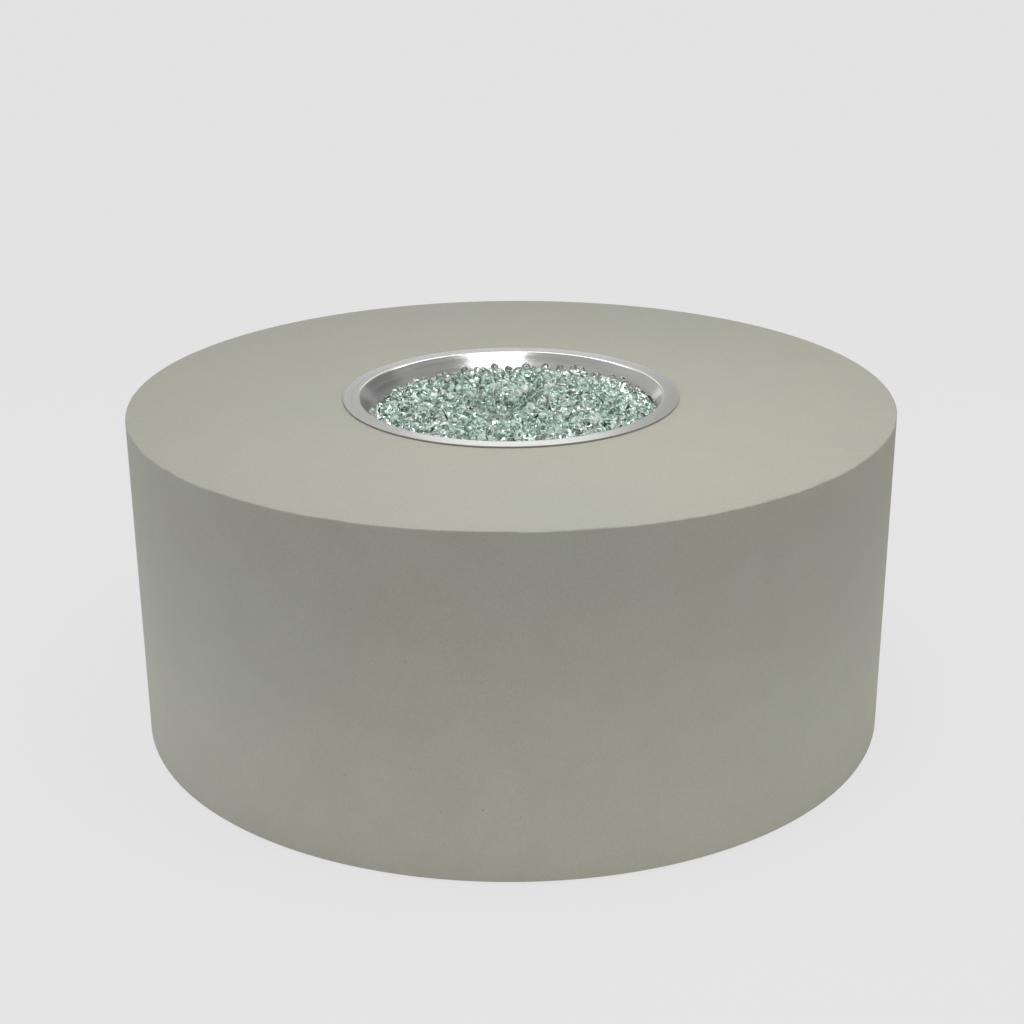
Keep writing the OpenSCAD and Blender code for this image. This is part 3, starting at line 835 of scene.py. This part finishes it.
@dataclass
class BurnerPan(Assembly):
    """The drop-in pan with its burner and pilot.

    Args:
        steel: Nodes of clean steel.
        hot_steel: Nodes of steel that the flame discolours.
        brass: Nodes of brass.
    """

    steel: tuple[str, ...] = ("pan_washer", "pilot_screws", "pilot_nuts", "electrode_rod")
    hot_steel: tuple[str, ...] = ("burner_ring", "pilot_bracket")
    brass: tuple[str, ...] = (
        "gas_nipple",
        "lock_nut",
        "air_mixer",
        "orifice_fitting",
        "hose_nut_burner",
        "thermocouple_probe",
    )

    def build(self) -> list[Piece]:
        """See Assembly.build."""
        return [
            *PAN_STEEL.on("burner_pan"),
            *STEEL.on(*self.steel),
            *BURNER_STEEL.on(*self.hot_steel),
            *BRASS.on(*self.brass),
            *CERAMIC.on("electrode_insulator"),
        ]


@dataclass
class FireGlass(Assembly):
    """The heap of tumbled glass in the pan.

    Heights are measured from the underside of the pan's flange.

    Args:
        size: Mean radius of a piece.
        sizes: Smallest and largest radius, as shares of the mean.
        wall_r: Radius of the pan's flared wall at wall_z.
        wall_z: Height of that place.
        flare: Flare of the wall from upright, in radians.
        sheet: Thickness of the pan.
        floor_z: Height of the pan's floor.
        floor_r: Radius of the pan's flat floor.
        cover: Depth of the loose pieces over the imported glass.
        sunk: Height of a piece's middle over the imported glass, as a share of its radius.
        touch: Distance between pieces that touch, as a share of their radii.
        edge_z: Mean height of the heap's top at the wall.
        heap: Rise from the wall to the middle.
        lean: Rise towards the right and the rear, over the heap's radius.
        reach: Width of the cells in which neighbours are looked for, over the mean radius.
        tries: Pieces dropped, though a full place takes no more.
        rolls: Steps in which a dropped piece looks for a lower place.
        roll: Shortest and longest step, as shares of its radius.
        shapes: Number of shapes.
        stretch: Least and greatest stretch of a shape.
        facets: Flattened sides of a shape.
        facet_at: Nearest and farthest place of such a side.
        flattened: How far it is pressed in.
        ripple: Height of the waves on a shape.
        wave: Spread of their wave numbers.
        bed_rings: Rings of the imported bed.
        bed_turns: Points of a ring.
        bed_lift: Gap under the bed.
        bed_inset: Gap between the bed's bottom and the bend of the pan.
        bed_foot: Height over the pan's floor at which the bed meets the wall.
        bed_gap: Gap between the bed and the pan's wall.
        bed_rough: Unevenness of the bed's top.
        seed: Start of the random draws.
        placed: Middle and radius of each loose piece.
    """

    size: float = 0.0073
    sizes: Pair = (0.78, 1.2)
    wall_r: float = 0.21244
    wall_z: float = -0.00068
    flare: float = math.radians(40.0)
    sheet: float = 0.0015
    floor_z: float = -0.0705
    floor_r: float = 0.1476
    cover: float = 0.019
    sunk: float = 0.7
    touch: float = 0.97
    edge_z: float = -0.0135
    heap: float = 0.0085
    lean: Pair = (0.0045, 0.0045)
    reach: float = 2.6
    tries: int = 5200
    rolls: int = 16
    roll: Pair = (0.1, 0.5)
    shapes: int = 14
    stretch: Pair = (0.84, 1.14)
    facets: int = 4
    facet_at: Pair = (0.62, 0.9)
    flattened: float = 0.7
    ripple: float = 0.035
    wave: float = 2.1
    bed_rings: int = 40
    bed_turns: int = 160
    bed_lift: float = 0.0003
    bed_inset: float = 0.002
    bed_foot: float = 0.012
    bed_gap: float = 0.0005
    bed_rough: float = 0.003
    seed: int = 11
    placed: list[Ball] = field(default_factory=list)

    @property
    def skin(self) -> float:
        """Level distance from the middle of the wall's sheet to its face."""
        return self.sheet / 2 / math.cos(self.flare)

    def wall_at(self, z: float) -> float:
        """Inner radius of the wall at a height."""
        return self.wall_r - (self.wall_z - z) * math.tan(self.flare) - self.skin

    def crown(self, x: float, y: float) -> float:
        """Top of the heap.

        Args:
            x: Place to the right.
            y: Place to the rear.
        Returns:
            Highest level that a piece may reach there.
        """
        rim = self.wall_at(self.edge_z)
        share = (x * x + y * y) / (rim * rim)
        return self.edge_z + self.heap * (1 - share) + (self.lean[0] * x + self.lean[1] * y) / rim

    def settle(self) -> None:
        """Drops pieces one by one and lets each roll to a low place."""
        draw = random.Random(self.seed)
        cell = self.reach * self.size
        cells: dict[tuple[int, int], list[Ball]] = {}

        def resting(x: float, y: float, r: float) -> float:
            """Lowest free height of a piece.

            Args:
                x: Place to the right.
                y: Place to the rear.
                r: Radius of the piece.
            Returns:
                Height of its centre.
            """
            z = self.crown(x, y) - self.cover + self.sunk * r
            out = math.hypot(x, y) + self.skin + r / math.cos(self.flare)
            z = max(z, self.wall_z + (out - self.wall_r) / math.tan(self.flare))
            column, row = math.floor(x / cell), math.floor(y / cell)
            for i in (column - 1, column, column + 1):
                for j in (row - 1, row, row + 1):
                    for a, b, c, s in cells.get((i, j), ()):
                        gap = self.touch * (s + r)
                        off = (a - x) ** 2 + (b - y) ** 2
                        if off < gap * gap:
                            z = max(z, c + math.sqrt(gap * gap - off))
            return z

        limit = self.wall_at(self.edge_z)
        for _ in range(self.tries):
            r = self.size * draw.uniform(*self.sizes)
            out, turn = limit * math.sqrt(draw.random()), draw.uniform(0.0, math.tau)
            x, y = out * math.cos(turn), out * math.sin(turn)
            z = resting(x, y, r)
            for _ in range(self.rolls):
                way = draw.uniform(0.0, math.tau)
                step = r * draw.uniform(*self.roll)
                to_x, to_y = x + step * math.cos(way), y + step * math.sin(way)
                to_z = resting(to_x, to_y, r)
                if to_z < z:
                    x, y, z = to_x, to_y, to_z
            if z + r > self.crown(x, y):
                continue
            cells.setdefault((math.floor(x / cell), math.floor(y / cell)), []).append((x, y, z, r))
            self.placed.append((x, y, z, r))

    def pebbles(self) -> tuple[list[np.ndarray], np.ndarray]:
        """Shapes a few pieces of size one.

        Returns:
            Their vertices, and the faces that all share.
        """
        ball = bmesh.new()
        bmesh.ops.create_icosphere(ball, subdivisions=3, radius=1.0)
        points = np.array([v.co[:] for v in ball.verts])
        faces = np.array([[v.index for v in f.verts] for f in ball.faces])
        ball.free()
        draw = np.random.default_rng(self.seed)
        made = []
        for _ in range(self.shapes):
            shape = points * draw.uniform(*self.stretch, 3)
            for _ in range(self.facets):
                way = draw.normal(size=3)
                way /= np.linalg.norm(way)
                over = shape @ way - draw.uniform(*self.facet_at)
                shape = shape - np.outer(np.maximum(over, 0.0) * self.flattened, way)
            waves = draw.normal(size=(3, 3)) * self.wave
            phase = draw.uniform(0.0, math.tau, 3)
            shape *= 1 + self.ripple * np.sin(points @ waves.T + phase).sum(1, keepdims=True)
            made.append(shape / np.mean(np.linalg.norm(shape, axis=1)))
        return made, faces

    def loose_pieces(self) -> Piece:
        """Makes the loose pieces.

        Returns:
            All of them as one piece.
        """
        self.settle()
        shapes, faces = self.pebbles()
        draw = random.Random(self.seed + 1)
        points, rows, tints = [], [], []
        for i, (x, y, z, r) in enumerate(self.placed):
            turn = Quaternion([draw.gauss(0.0, 1.0) for _ in range(4)]).normalized().to_matrix()
            shape = shapes[draw.randrange(len(shapes))] @ np.array(turn).T
            points.append(shape * r + np.array((x, y, z + PAN_Z)))
            rows.append(faces + i * len(shape))
            tints += [draw.random()] * len(shape)
        vertices = np.concatenate(points).tolist()
        loose = new_piece("fire_glass_pieces", vertices, np.concatenate(rows).tolist())
        attribute = loose.data.attributes.new(GLASS.tint, "FLOAT", "POINT")
        attribute.data.foreach_set("value", tints)
        GLASS.dress(loose)
        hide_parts("fire_glass")
        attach(loose, "pan")
        return loose

    def packed_bed(self) -> Piece:
        """Makes the closed solid under the loose pieces.

        Returns:
            The bed.
        """
        turns, rings = self.bed_turns, self.bed_rings
        low, foot = self.floor_z + self.bed_lift, self.floor_z + self.bed_foot
        profile = [(self.floor_r - self.bed_inset, low), (self.wall_at(foot) - self.bed_gap, foot)]
        brim = self.wall_at(self.edge_z - self.cover) - self.bed_gap
        draw = random.Random(self.seed + 2)
        points: list[Point] = []
        for k in range(rings + 1):
            for t in range(turns):
                turn = math.tau * t / turns
                way = Vector((math.cos(turn), math.sin(turn)))
                if k < len(profile):
                    r, z = profile[k]
                else:
                    r = brim * (rings + 1 - k) / (rings + 1 - len(profile))
                    rough = draw.uniform(-self.bed_rough, self.bed_rough)
                    z = self.crown(r * way.x, r * way.y) - self.cover + rough
                    r = min(r, self.wall_at(z) - self.bed_gap)
                points.append((r * way.x, r * way.y, z + PAN_Z))
        last = rings * turns
        caps = [tuple(range(turns - 1, -1, -1)), tuple(last + t for t in range(turns))]
        bed = new_piece("fire_glass_bed", points, ring_faces(rings, turns) + caps)
        BED.dress(bed)
        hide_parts("glass_bed")
        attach(bed, "pan")
        return bed

    def build(self) -> list[Piece]:
        """See Assembly.build."""
        return [self.loose_pieces(), self.packed_bed()]


@dataclass(frozen=True)
class Line:
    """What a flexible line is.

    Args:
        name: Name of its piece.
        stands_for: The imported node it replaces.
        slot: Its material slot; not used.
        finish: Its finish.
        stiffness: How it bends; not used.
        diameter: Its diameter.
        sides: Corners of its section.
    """

    name: str
    stands_for: str
    slot: str
    finish: Finish
    stiffness: Stiffness
    diameter: float
    sides: int

    def lay(self, fine: list[Vector], radii: list[float]) -> Piece:
        """Hangs the line between the drum and the pan.

        Args:
            fine: Points of its mesh along that route.
            radii: Radius at each of them.
        Returns:
            The piece.
        """
        piece = self.finish.dress(tube(self.name, fine, radii, self.sides))
        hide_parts(self.stands_for)
        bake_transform(piece)
        return piece


HOSE = Line(
    "gas_hose_flex",
    stands_for="gas_hose",
    slot="flex_steel",
    finish=FLEX_STEEL,
    stiffness=Stiffness.STIFF,
    diameter=0.013,
    sides=20,
)
SPARK = Line(
    "spark_lead",
    stands_for="igniter_lead",
    slot="silicone",
    finish=SILICONE,
    stiffness=Stiffness.LIMP,
    diameter=0.005,
    sides=14,
)
THERMO = Line(
    "thermocouple_line",
    stands_for="thermocouple_lead",
    slot="copper",
    finish=COPPER,
    stiffness=Stiffness.MEDIUM,
    diameter=0.003,
    sides=12,
)


@dataclass
class GasTrain(Assembly):
    """The flexible gas line and the two leads between the controls and the pan.

    Args:
        hose_low: Height of the gas line's lowest point.
        hose_turn: Radius of its turn up to the burner.
        turn_steps: Intervals of that turn.
        valve_y: Its end at the valve.
        burner_z: Its end at the burner.
        valve_pull: Reach of its curve from the valve.
        turn_pull: Reach of its curve to the turn.
        rib: Pitch of its corrugations.
        rib_steps: Intervals of a corrugation.
        rib_depth: Depth of a corrugation, as a share of the radius.
        cuff: Plain intervals at each end.
        spark: Ends of the spark lead.
        spark_pull: Reach of its curve from the igniter, as a share of the way to the pan.
        spark_drop: Pull down at its end.
        thermo: Ends of the thermocouple lead.
        thermo_pull: Reach of its curve from the valve.
        thermo_drop: Pull down at its end.
        straight: Straight stretch at both ends of a lead.
        inward: Reach of a lead's curve at the pan, as a share of the way along Y.
        lead_step: Length of an interval of a lead.
    """

    hose_low: float = 0.130
    hose_turn: float = 0.070
    turn_steps: int = 8
    valve_y: float = 0.4019
    burner_z: float = 0.2886
    valve_pull: float = 0.150
    turn_pull: float = 0.140
    rib: float = 0.0046
    rib_steps: int = 6
    rib_depth: float = 0.16
    cuff: int = 24
    spark: tuple[Point, Point] = ((IGNITER_X, 0.4131, POCKET_Z), (0.009, 0.105, 0.3781))
    spark_pull: float = 0.7
    spark_drop: float = 0.320
    thermo: tuple[Point, Point] = ((VALVE_X, 0.4405, 0.3284), (-0.009, 0.105, 0.3821))
    thermo_pull: float = 0.200
    thermo_drop: float = 0.240
    straight: float = 0.009
    inward: float = 0.2
    lead_step: float = 0.004

    def hose_path(self) -> list[Vector]:
        """Routes the gas line from the valve to the burner.

        Returns:
            The route.
        """
        start = Vector((VALVE_X, self.valve_y, POCKET_Z))
        turn, low, end = self.hose_turn, self.hose_low, self.burner_z
        out = start - Vector((0.0, self.valve_pull, 0.0))
        back = Vector((0.0, turn + self.turn_pull, low))
        path = bezier(start, out, back, Vector((0.0, turn, low)))
        for i in range(1, self.turn_steps + 1):
            a = math.radians(90.0 * i / self.turn_steps)
            path.append(Vector((0.0, turn * (1 - math.sin(a)), low + turn * (1 - math.cos(a)))))
        return path + [Vector((0.0, 0.0, (low + turn + end) / 2)), Vector((0.0, 0.0, end))]

    def hose(self) -> Piece:
        """Makes the corrugated gas line.

        Returns:
            The piece.
        """
        route = self.hose_path()
        fine = resample(route, self.rib / self.rib_steps)
        end = len(fine) - 1
        radii = []
        for i in range(len(fine)):
            plain = i < self.cuff or i > end - self.cuff
            wave = 0.0 if plain else 0.5 - 0.5 * math.cos(math.tau * i / self.rib_steps)
            radii.append(HOSE.diameter / 2 * (1.0 - self.rib_depth * wave))
        return HOSE.lay(fine, radii)

    def lead(self, line: Line, a: Vector, out: Vector, b: Vector, drop: float) -> Piece:
        """Makes a slack lead that comes up under the pan.

        Args:
            line: What it is.
            a: Start.
            out: Way and pull at the start.
            b: End.
            drop: Pull down at the end.
        Returns:
            The piece.
        """
        c = a + self.straight * out.normalized()
        d = b - Vector((0.0, 0.0, self.straight))
        handle = d + Vector((0.0, self.inward * (a.y - b.y), -drop))
        path = [a] + bezier(c, c + out, handle, d) + [b]
        fine = resample(path, self.lead_step)
        return line.lay(fine, [line.diameter / 2] * len(fine))

    def build(self) -> list[Piece]:
        """See Assembly.build."""
        hose = self.hose()
        a, b = map(Vector, self.spark)
        out = Vector((0.0, self.spark_pull * (b.y - a.y), 0.0))
        spark = self.lead(SPARK, a, out, b, self.spark_drop)
        a, b = map(Vector, self.thermo)
        thermo = self.lead(THERMO, a, Vector((0.0, 0.0, self.thermo_pull)), b, self.thermo_drop)
        return [hose, spark, thermo]


@dataclass(frozen=True)
class Coil:
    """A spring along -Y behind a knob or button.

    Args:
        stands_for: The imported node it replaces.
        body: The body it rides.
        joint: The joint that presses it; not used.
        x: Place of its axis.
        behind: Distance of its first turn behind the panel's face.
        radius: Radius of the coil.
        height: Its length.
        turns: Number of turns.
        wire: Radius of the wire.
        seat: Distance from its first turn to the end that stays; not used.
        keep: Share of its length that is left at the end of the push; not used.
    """

    stands_for: str
    body: str
    joint: str
    x: float
    behind: float
    radius: float
    height: float
    turns: int
    wire: float
    seat: float
    keep: float

    def wind(self, around: int = 24) -> Piece:
        """Makes the spring.

        Args:
            around: Intervals of a turn.
        Returns:
            The piece.
        """
        start = Vector((self.x, PANEL_Y - self.behind, POCKET_Z))
        steps = around * self.turns
        path = []
        for i in range(steps + 1):
            a = math.tau * i / around
            x, z = self.radius * math.cos(a), self.radius * math.sin(a)
            path.append(start + Vector((x, -self.height * i / steps, z)))
        made = tube(self.stands_for + "_coil", path, [self.wire] * len(path), sides=8)
        STEEL.dress(made)
        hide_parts(self.stands_for)
        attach(made, self.body)
        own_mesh(made)
        return made


STEM_SPRING = Coil(
    "stem_spring",
    body="plug",
    joint="knob_push",
    x=VALVE_X,
    behind=0.0142,
    radius=0.0032,
    height=0.0146,
    turns=7,
    wire=0.00045,
    seat=0.015,
    keep=0.72,
)
IGNITER_SPRING = Coil(
    "igniter_spring",
    body="drum",
    joint="button_push",
    x=IGNITER_X,
    behind=0.001,
    radius=0.004,
    height=0.0064,
    turns=4,
    wire=0.0004,
    seat=0.0068,
    keep=0.56,
)


@dataclass
class ControlPocket(Assembly):
    """The pocket at the rear with the valve, the knob and the igniter.

    Args:
        steel: Nodes of steel.
        brass: Nodes of brass.
        black: Nodes of black plastic.
        print_gap: Height of the printed marks over the panel.
    """

    steel: tuple[str, ...] = ("control_box_screws", "bonnet_screws", "valve_screws", "valve_stem")
    brass: tuple[str, ...] = (
        "valve_bonnet",
        "valve_body",
        "valve_plug",
        "inlet_fitting",
        "outlet_fitting",
        "hose_nut_valve",
        "magnet_unit",
    )
    black: tuple[str, ...] = ("control_knob", "igniter_housing", "igniter_nut", "igniter_cap")
    print_gap: float = 0.0002

    def dial(self) -> Piece:
        """Prints the panel's marks: a bar for closed and a wedge from low to high.

        Returns:
            The marks.
        """
        points: list[Point] = []
        faces: list[tuple[int, ...]] = []

        def band(angles: Pair, inner: Pair, outer: Pair, steps: int) -> None:
            """Adds a flat curved band.

            Args:
                angles: First and last angle, in degrees.
                inner: Inner radius at both ends.
                outer: Outer radius at both ends.
                steps: Number of intervals.
            """
            first = len(points)
            for i in range(steps + 1):
                t = i / steps
                a = math.radians(angles[0] + (angles[1] - angles[0]) * t)
                for ends in (inner, outer):
                    r = ends[0] + (ends[1] - ends[0]) * t
                    x, z = VALVE_X + r * math.cos(a), POCKET_Z + r * math.sin(a)
                    points.append((x, PANEL_Y + self.print_gap, z))
            for i in range(steps):
                k = first + 2 * i
                faces.append((k, k + 1, k + 3, k + 2))

        band((86.0, 94.0), inner=(0.0265, 0.0265), outer=(0.0315, 0.0315), steps=4)
        band((-150.0, 20.0), inner=(0.0275, 0.0275), outer=(0.0281, 0.0318), steps=60)
        marks = new_piece("dial_marks", points, faces)
        BLACK_PLASTIC.dress(marks)
        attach(marks, "drum")
        return marks

    def build(self) -> list[Piece]:
        """See Assembly.build."""
        return [
            *SHEET_STEEL.on("control_box"),
            *STEEL.on(*self.steel),
            *BRASS.on(*self.brass),
            *BLACK_PLASTIC.on(*self.black),
            *RED_PLASTIC.on("igniter_button"),
            *BATTERY.on("igniter_battery"),
            STEM_SPRING.wind(),
            IGNITER_SPRING.wind(),
            self.dial(),
        ]


@dataclass
class Vents(Assembly):
    """The two louvred vents.

    Args:
        grilles: Their nodes.
    """

    grilles: tuple[str, ...] = ("vent_grille_left", "vent_grille_right")

    def build(self) -> list[Piece]:
        """See Assembly.build."""
        return SHEET_STEEL.on(*self.grilles) + STEEL.on("vent_screws")


@dataclass(frozen=True)
class SoftBox:
    """A lamp of the studio.

    Args:
        name: Its name.
        place: Where it hangs.
        aim: Where it points.
        size: Its width and length.
        power: Its power, in watts.
        tint: Its colour.
    """

    name: str
    place: Point
    aim: Point
    size: Pair
    power: float
    tint: Point = (1.0, 1.0, 1.0)

    def hang(self) -> bpy.types.Object:
        """Hangs the lamp in its place.

        Returns:
            The lamp.
        """
        data = bpy.data.lights.new(self.name, "AREA")
        data.shape = "RECTANGLE"
        data.size, data.size_y = self.size
        data.energy = self.power
        data.color = self.tint
        lamp = link(self.name, data)
        lamp.location = self.place
        lamp.rotation_mode = "QUATERNION"
        lamp.rotation_quaternion = (Vector(self.aim) - Vector(self.place)).to_track_quat("-Z", "Y")
        return lamp


@dataclass
class Studio(Assembly):
    """The camera, the floor, the light and the cards that metal and glass show.

    Args:
        lens: Focal length, in millimetres.
        sensor: Width of the sensor, in millimetres.
        eye: Place of the camera.
        aim: Point on its axis.
        lift: Upward shift of the frame.
        roll: Turn about its axis, in degrees.
        far: How far the camera sees.
        floor_half: Half the width of the floor.
        sky: World level for diffuse light.
        seen: World level for everything else.
        flag_r: Distance of the flags.
        flag_low: Height of their lower edge.
        flag_high: Height of their upper edge.
        ceiling_z: Height of the ceiling.
        lamps: The soft boxes.
    """

    lens: float = 66.32
    sensor: float = 36.0
    eye: Point = (0.0, -2.5458, 1.2478)
    aim: Point = (0.0, 0.0, 0.228)
    lift: float = 0.0401
    roll: float = -0.393
    far: float = 200.0
    floor_half: float = 30.0
    sky: float = 0.62
    seen: float = 0.79
    flag_r: float = 2.7
    flag_low: float = 0.2
    flag_high: float = 2.3
    ceiling_z: float = 2.9
    lamps: tuple[SoftBox, ...] = (
        SoftBox("panel", (0.16, -0.35, 1.7), aim=(0.16, -0.35, 0.0), size=(0.55, 0.8), power=8.8),
        SoftBox("low_strip", (0.7, -2.2, 0.25), aim=(0.0, 0.0, 0.2), size=(2.4, 0.4), power=2.2),
        SoftBox(
            "left_box",
            (-2.3, 0.1, 0.55),
            aim=(0.0, 0.0, 0.25),
            size=(0.6, 0.6),
            power=7.0,
            tint=(0.95, 0.98, 1.12),
        ),
        SoftBox("right_box", (2.2, 0.3, 0.6), aim=(0.0, 0.0, 0.25), size=(0.6, 0.6), power=3.4),
    )

    def camera(self) -> bpy.types.Object:
        """Places the camera.

        Returns:
            The camera.
        """
        data = bpy.data.cameras.new("camera")
        data.lens = self.lens
        data.sensor_width = self.sensor
        data.shift_y = self.lift
        data.clip_end = self.far
        camera = link("camera", data)
        camera.location = self.eye
        look = (Vector(self.aim) - Vector(self.eye)).to_track_quat("-Z", "Y")
        turn = Quaternion((0.0, 0.0, 1.0), math.radians(self.roll))
        camera.rotation_mode = "QUATERNION"
        camera.rotation_quaternion = look @ turn
        bpy.context.scene.camera = camera
        return camera

    def sheet(self, name: str, across: Pair, along: Pair, high: float) -> Piece:
        """Makes a level rectangle.

        Args:
            name: Its name.
            across: Its left and right edge.
            along: Its front and rear edge.
            high: Its height.
        Returns:
            The sheet.
        """
        (left, right), (front, rear) = across, along
        corners = [(left, front), (right, front), (right, rear), (left, rear)]
        return new_piece(name, [(x, y, high) for x, y in corners], [(0, 1, 2, 3)])

    def floor(self) -> Piece:
        """Lays the floor.

        Returns:
            The floor.
        """
        width = (-self.floor_half, self.floor_half)
        floor = self.sheet("studio_floor", width, width, 0.0)
        FLOOR.dress(floor)
        return floor

    def hidden(self, card: Piece, finish: Finish) -> Piece:
        """Makes a card one that only metal and glass show.

        Args:
            card: The card.
            finish: Its finish.
        Returns:
            The same card.
        """
        card.visible_camera = False
        card.visible_diffuse = False
        card.visible_shadow = False
        finish.dress(card)
        return card

    def flag(self, name: str, start: float, end: float, finish: Finish, steps: int = 40) -> Piece:
        """Stands a curved card round the scene.

        Args:
            name: Its name.
            start: First bearing, in degrees clockwise from the rear.
            end: Last bearing.
            finish: Its finish.
            steps: Number of intervals.
        Returns:
            The card.
        """
        points = []
        for i in range(steps + 1):
            bearing = math.radians(start + (end - start) * i / steps)
            x, y = self.flag_r * math.sin(bearing), self.flag_r * math.cos(bearing)
            points += [(x, y, self.flag_low), (x, y, self.flag_high)]
        faces = [(2 * i, 2 * i + 2, 2 * i + 3, 2 * i + 1) for i in range(steps)]
        return self.hidden(new_piece(name, points, faces), finish)

    def board(self, name: str, place: Point, size: Pair, finish: Finish) -> Piece:
        """Stands a card that faces the pan.

        Args:
            name: Its name.
            place: Its middle.
            size: Its width and height.
            finish: Its finish.
        Returns:
            The card.
        """
        turn = (Vector((0.0, 0.0, PAN_Z)) - Vector(place)).to_track_quat("-Z", "Y")
        corners = [(-0.5, -0.5), (0.5, -0.5), (0.5, 0.5), (-0.5, 0.5)]
        spread = [Vector((x * size[0], y * size[1], 0.0)) for x, y in corners]
        points = [Vector(place) + turn @ corner for corner in spread]
        return self.hidden(new_piece(name, points, [(0, 1, 2, 3)]), finish)

    def ceiling(self, name: str, across: Pair, along: Pair, finish: Finish) -> Piece:
        """Hangs a card over the scene, between its left and right and its front and rear edges."""
        return self.hidden(self.sheet(name, across, along, self.ceiling_z), finish)

    def windows(self) -> list[Piece]:
        """Stands the two bright cards that only the glass shows.

        Returns:
            The cards.
        """
        made = []
        for name, x in (("window_1", -1.4), ("window_3", 1.4)):
            window = self.board(name, (x, 1.0, 2.4), (1.0, 1.6), WINDOW_CARD)
            window.visible_glossy = False
            made.append(window)
        return made

    def world(self) -> None:
        """Sets the world, paler where it is seen than where it lights."""
        world = bpy.data.worlds.new("studio")
        bpy.context.scene.world = world
        world.use_nodes = True
        world.node_tree.nodes.clear()
        tree = Tree(world.node_tree)
        fill = tree.add("Background", {"Color": grey(self.sky), "Strength": 1.0}).outputs[0]
        pale = tree.add("Background", {"Color": grey(self.seen), "Strength": 1.0}).outputs[0]
        mixed = tree.add("MixShader", {0: tree.seen_rays(), 1: fill, 2: pale})
        tree.add("OutputWorld", {"Surface": mixed.outputs[0]})

    def build(self) -> list[Piece]:
        """See Assembly.build."""
        bpy.context.scene.view_settings.view_transform = "Standard"
        self.world()
        return [
            self.camera(),
            self.floor(),
            *(lamp.hang() for lamp in self.lamps),
            self.flag("flag_right", 28.0, 180.0, DARK_CARD),
            self.flag("flag_left", 180.0, 290.0, DARK_CARD),
            self.flag("flag_rear_left", 290.0, 370.0, GREY_CARD),
            self.flag("flag_rear_right", 10.0, 28.0, DIM_CARD),
            self.ceiling("ceiling_left", (-3.2, 0.2), (-3.2, 3.2), GREY_CARD),
            self.ceiling("ceiling_right", (0.2, 3.2), (-3.2, 3.2), DIM_CARD),
            self.board("rear_board", (0.0, 2.5, 1.83), (0.66, 0.95), PALE_CARD),
            self.board("rim_board", (-0.69, 2.4, 0.69), (0.5, 0.4), WHITE_CARD),
            self.board("glint_board", (0.0, 1.3, 2.1), (2.4, 0.25), GLINT_CARD),
            *self.windows(),
        ]


def main() -> None:
    """Builds the stage and the sub-assemblies in order."""
    logging.basicConfig(level=logging.INFO, format="%(message)s")
    assemblies: tuple[Assembly, ...] = (
        Studio(),
        GasTrain(),
        Drum(),
        BurnerPan(),
        ControlPocket(),
        Vents(),
        FireGlass(),
    )
    for assembly in assemblies:
        for piece in assembly.build():
            log.info("%s: %s", type(assembly).__name__, piece.name)


if __name__ == "__main__":
    main()
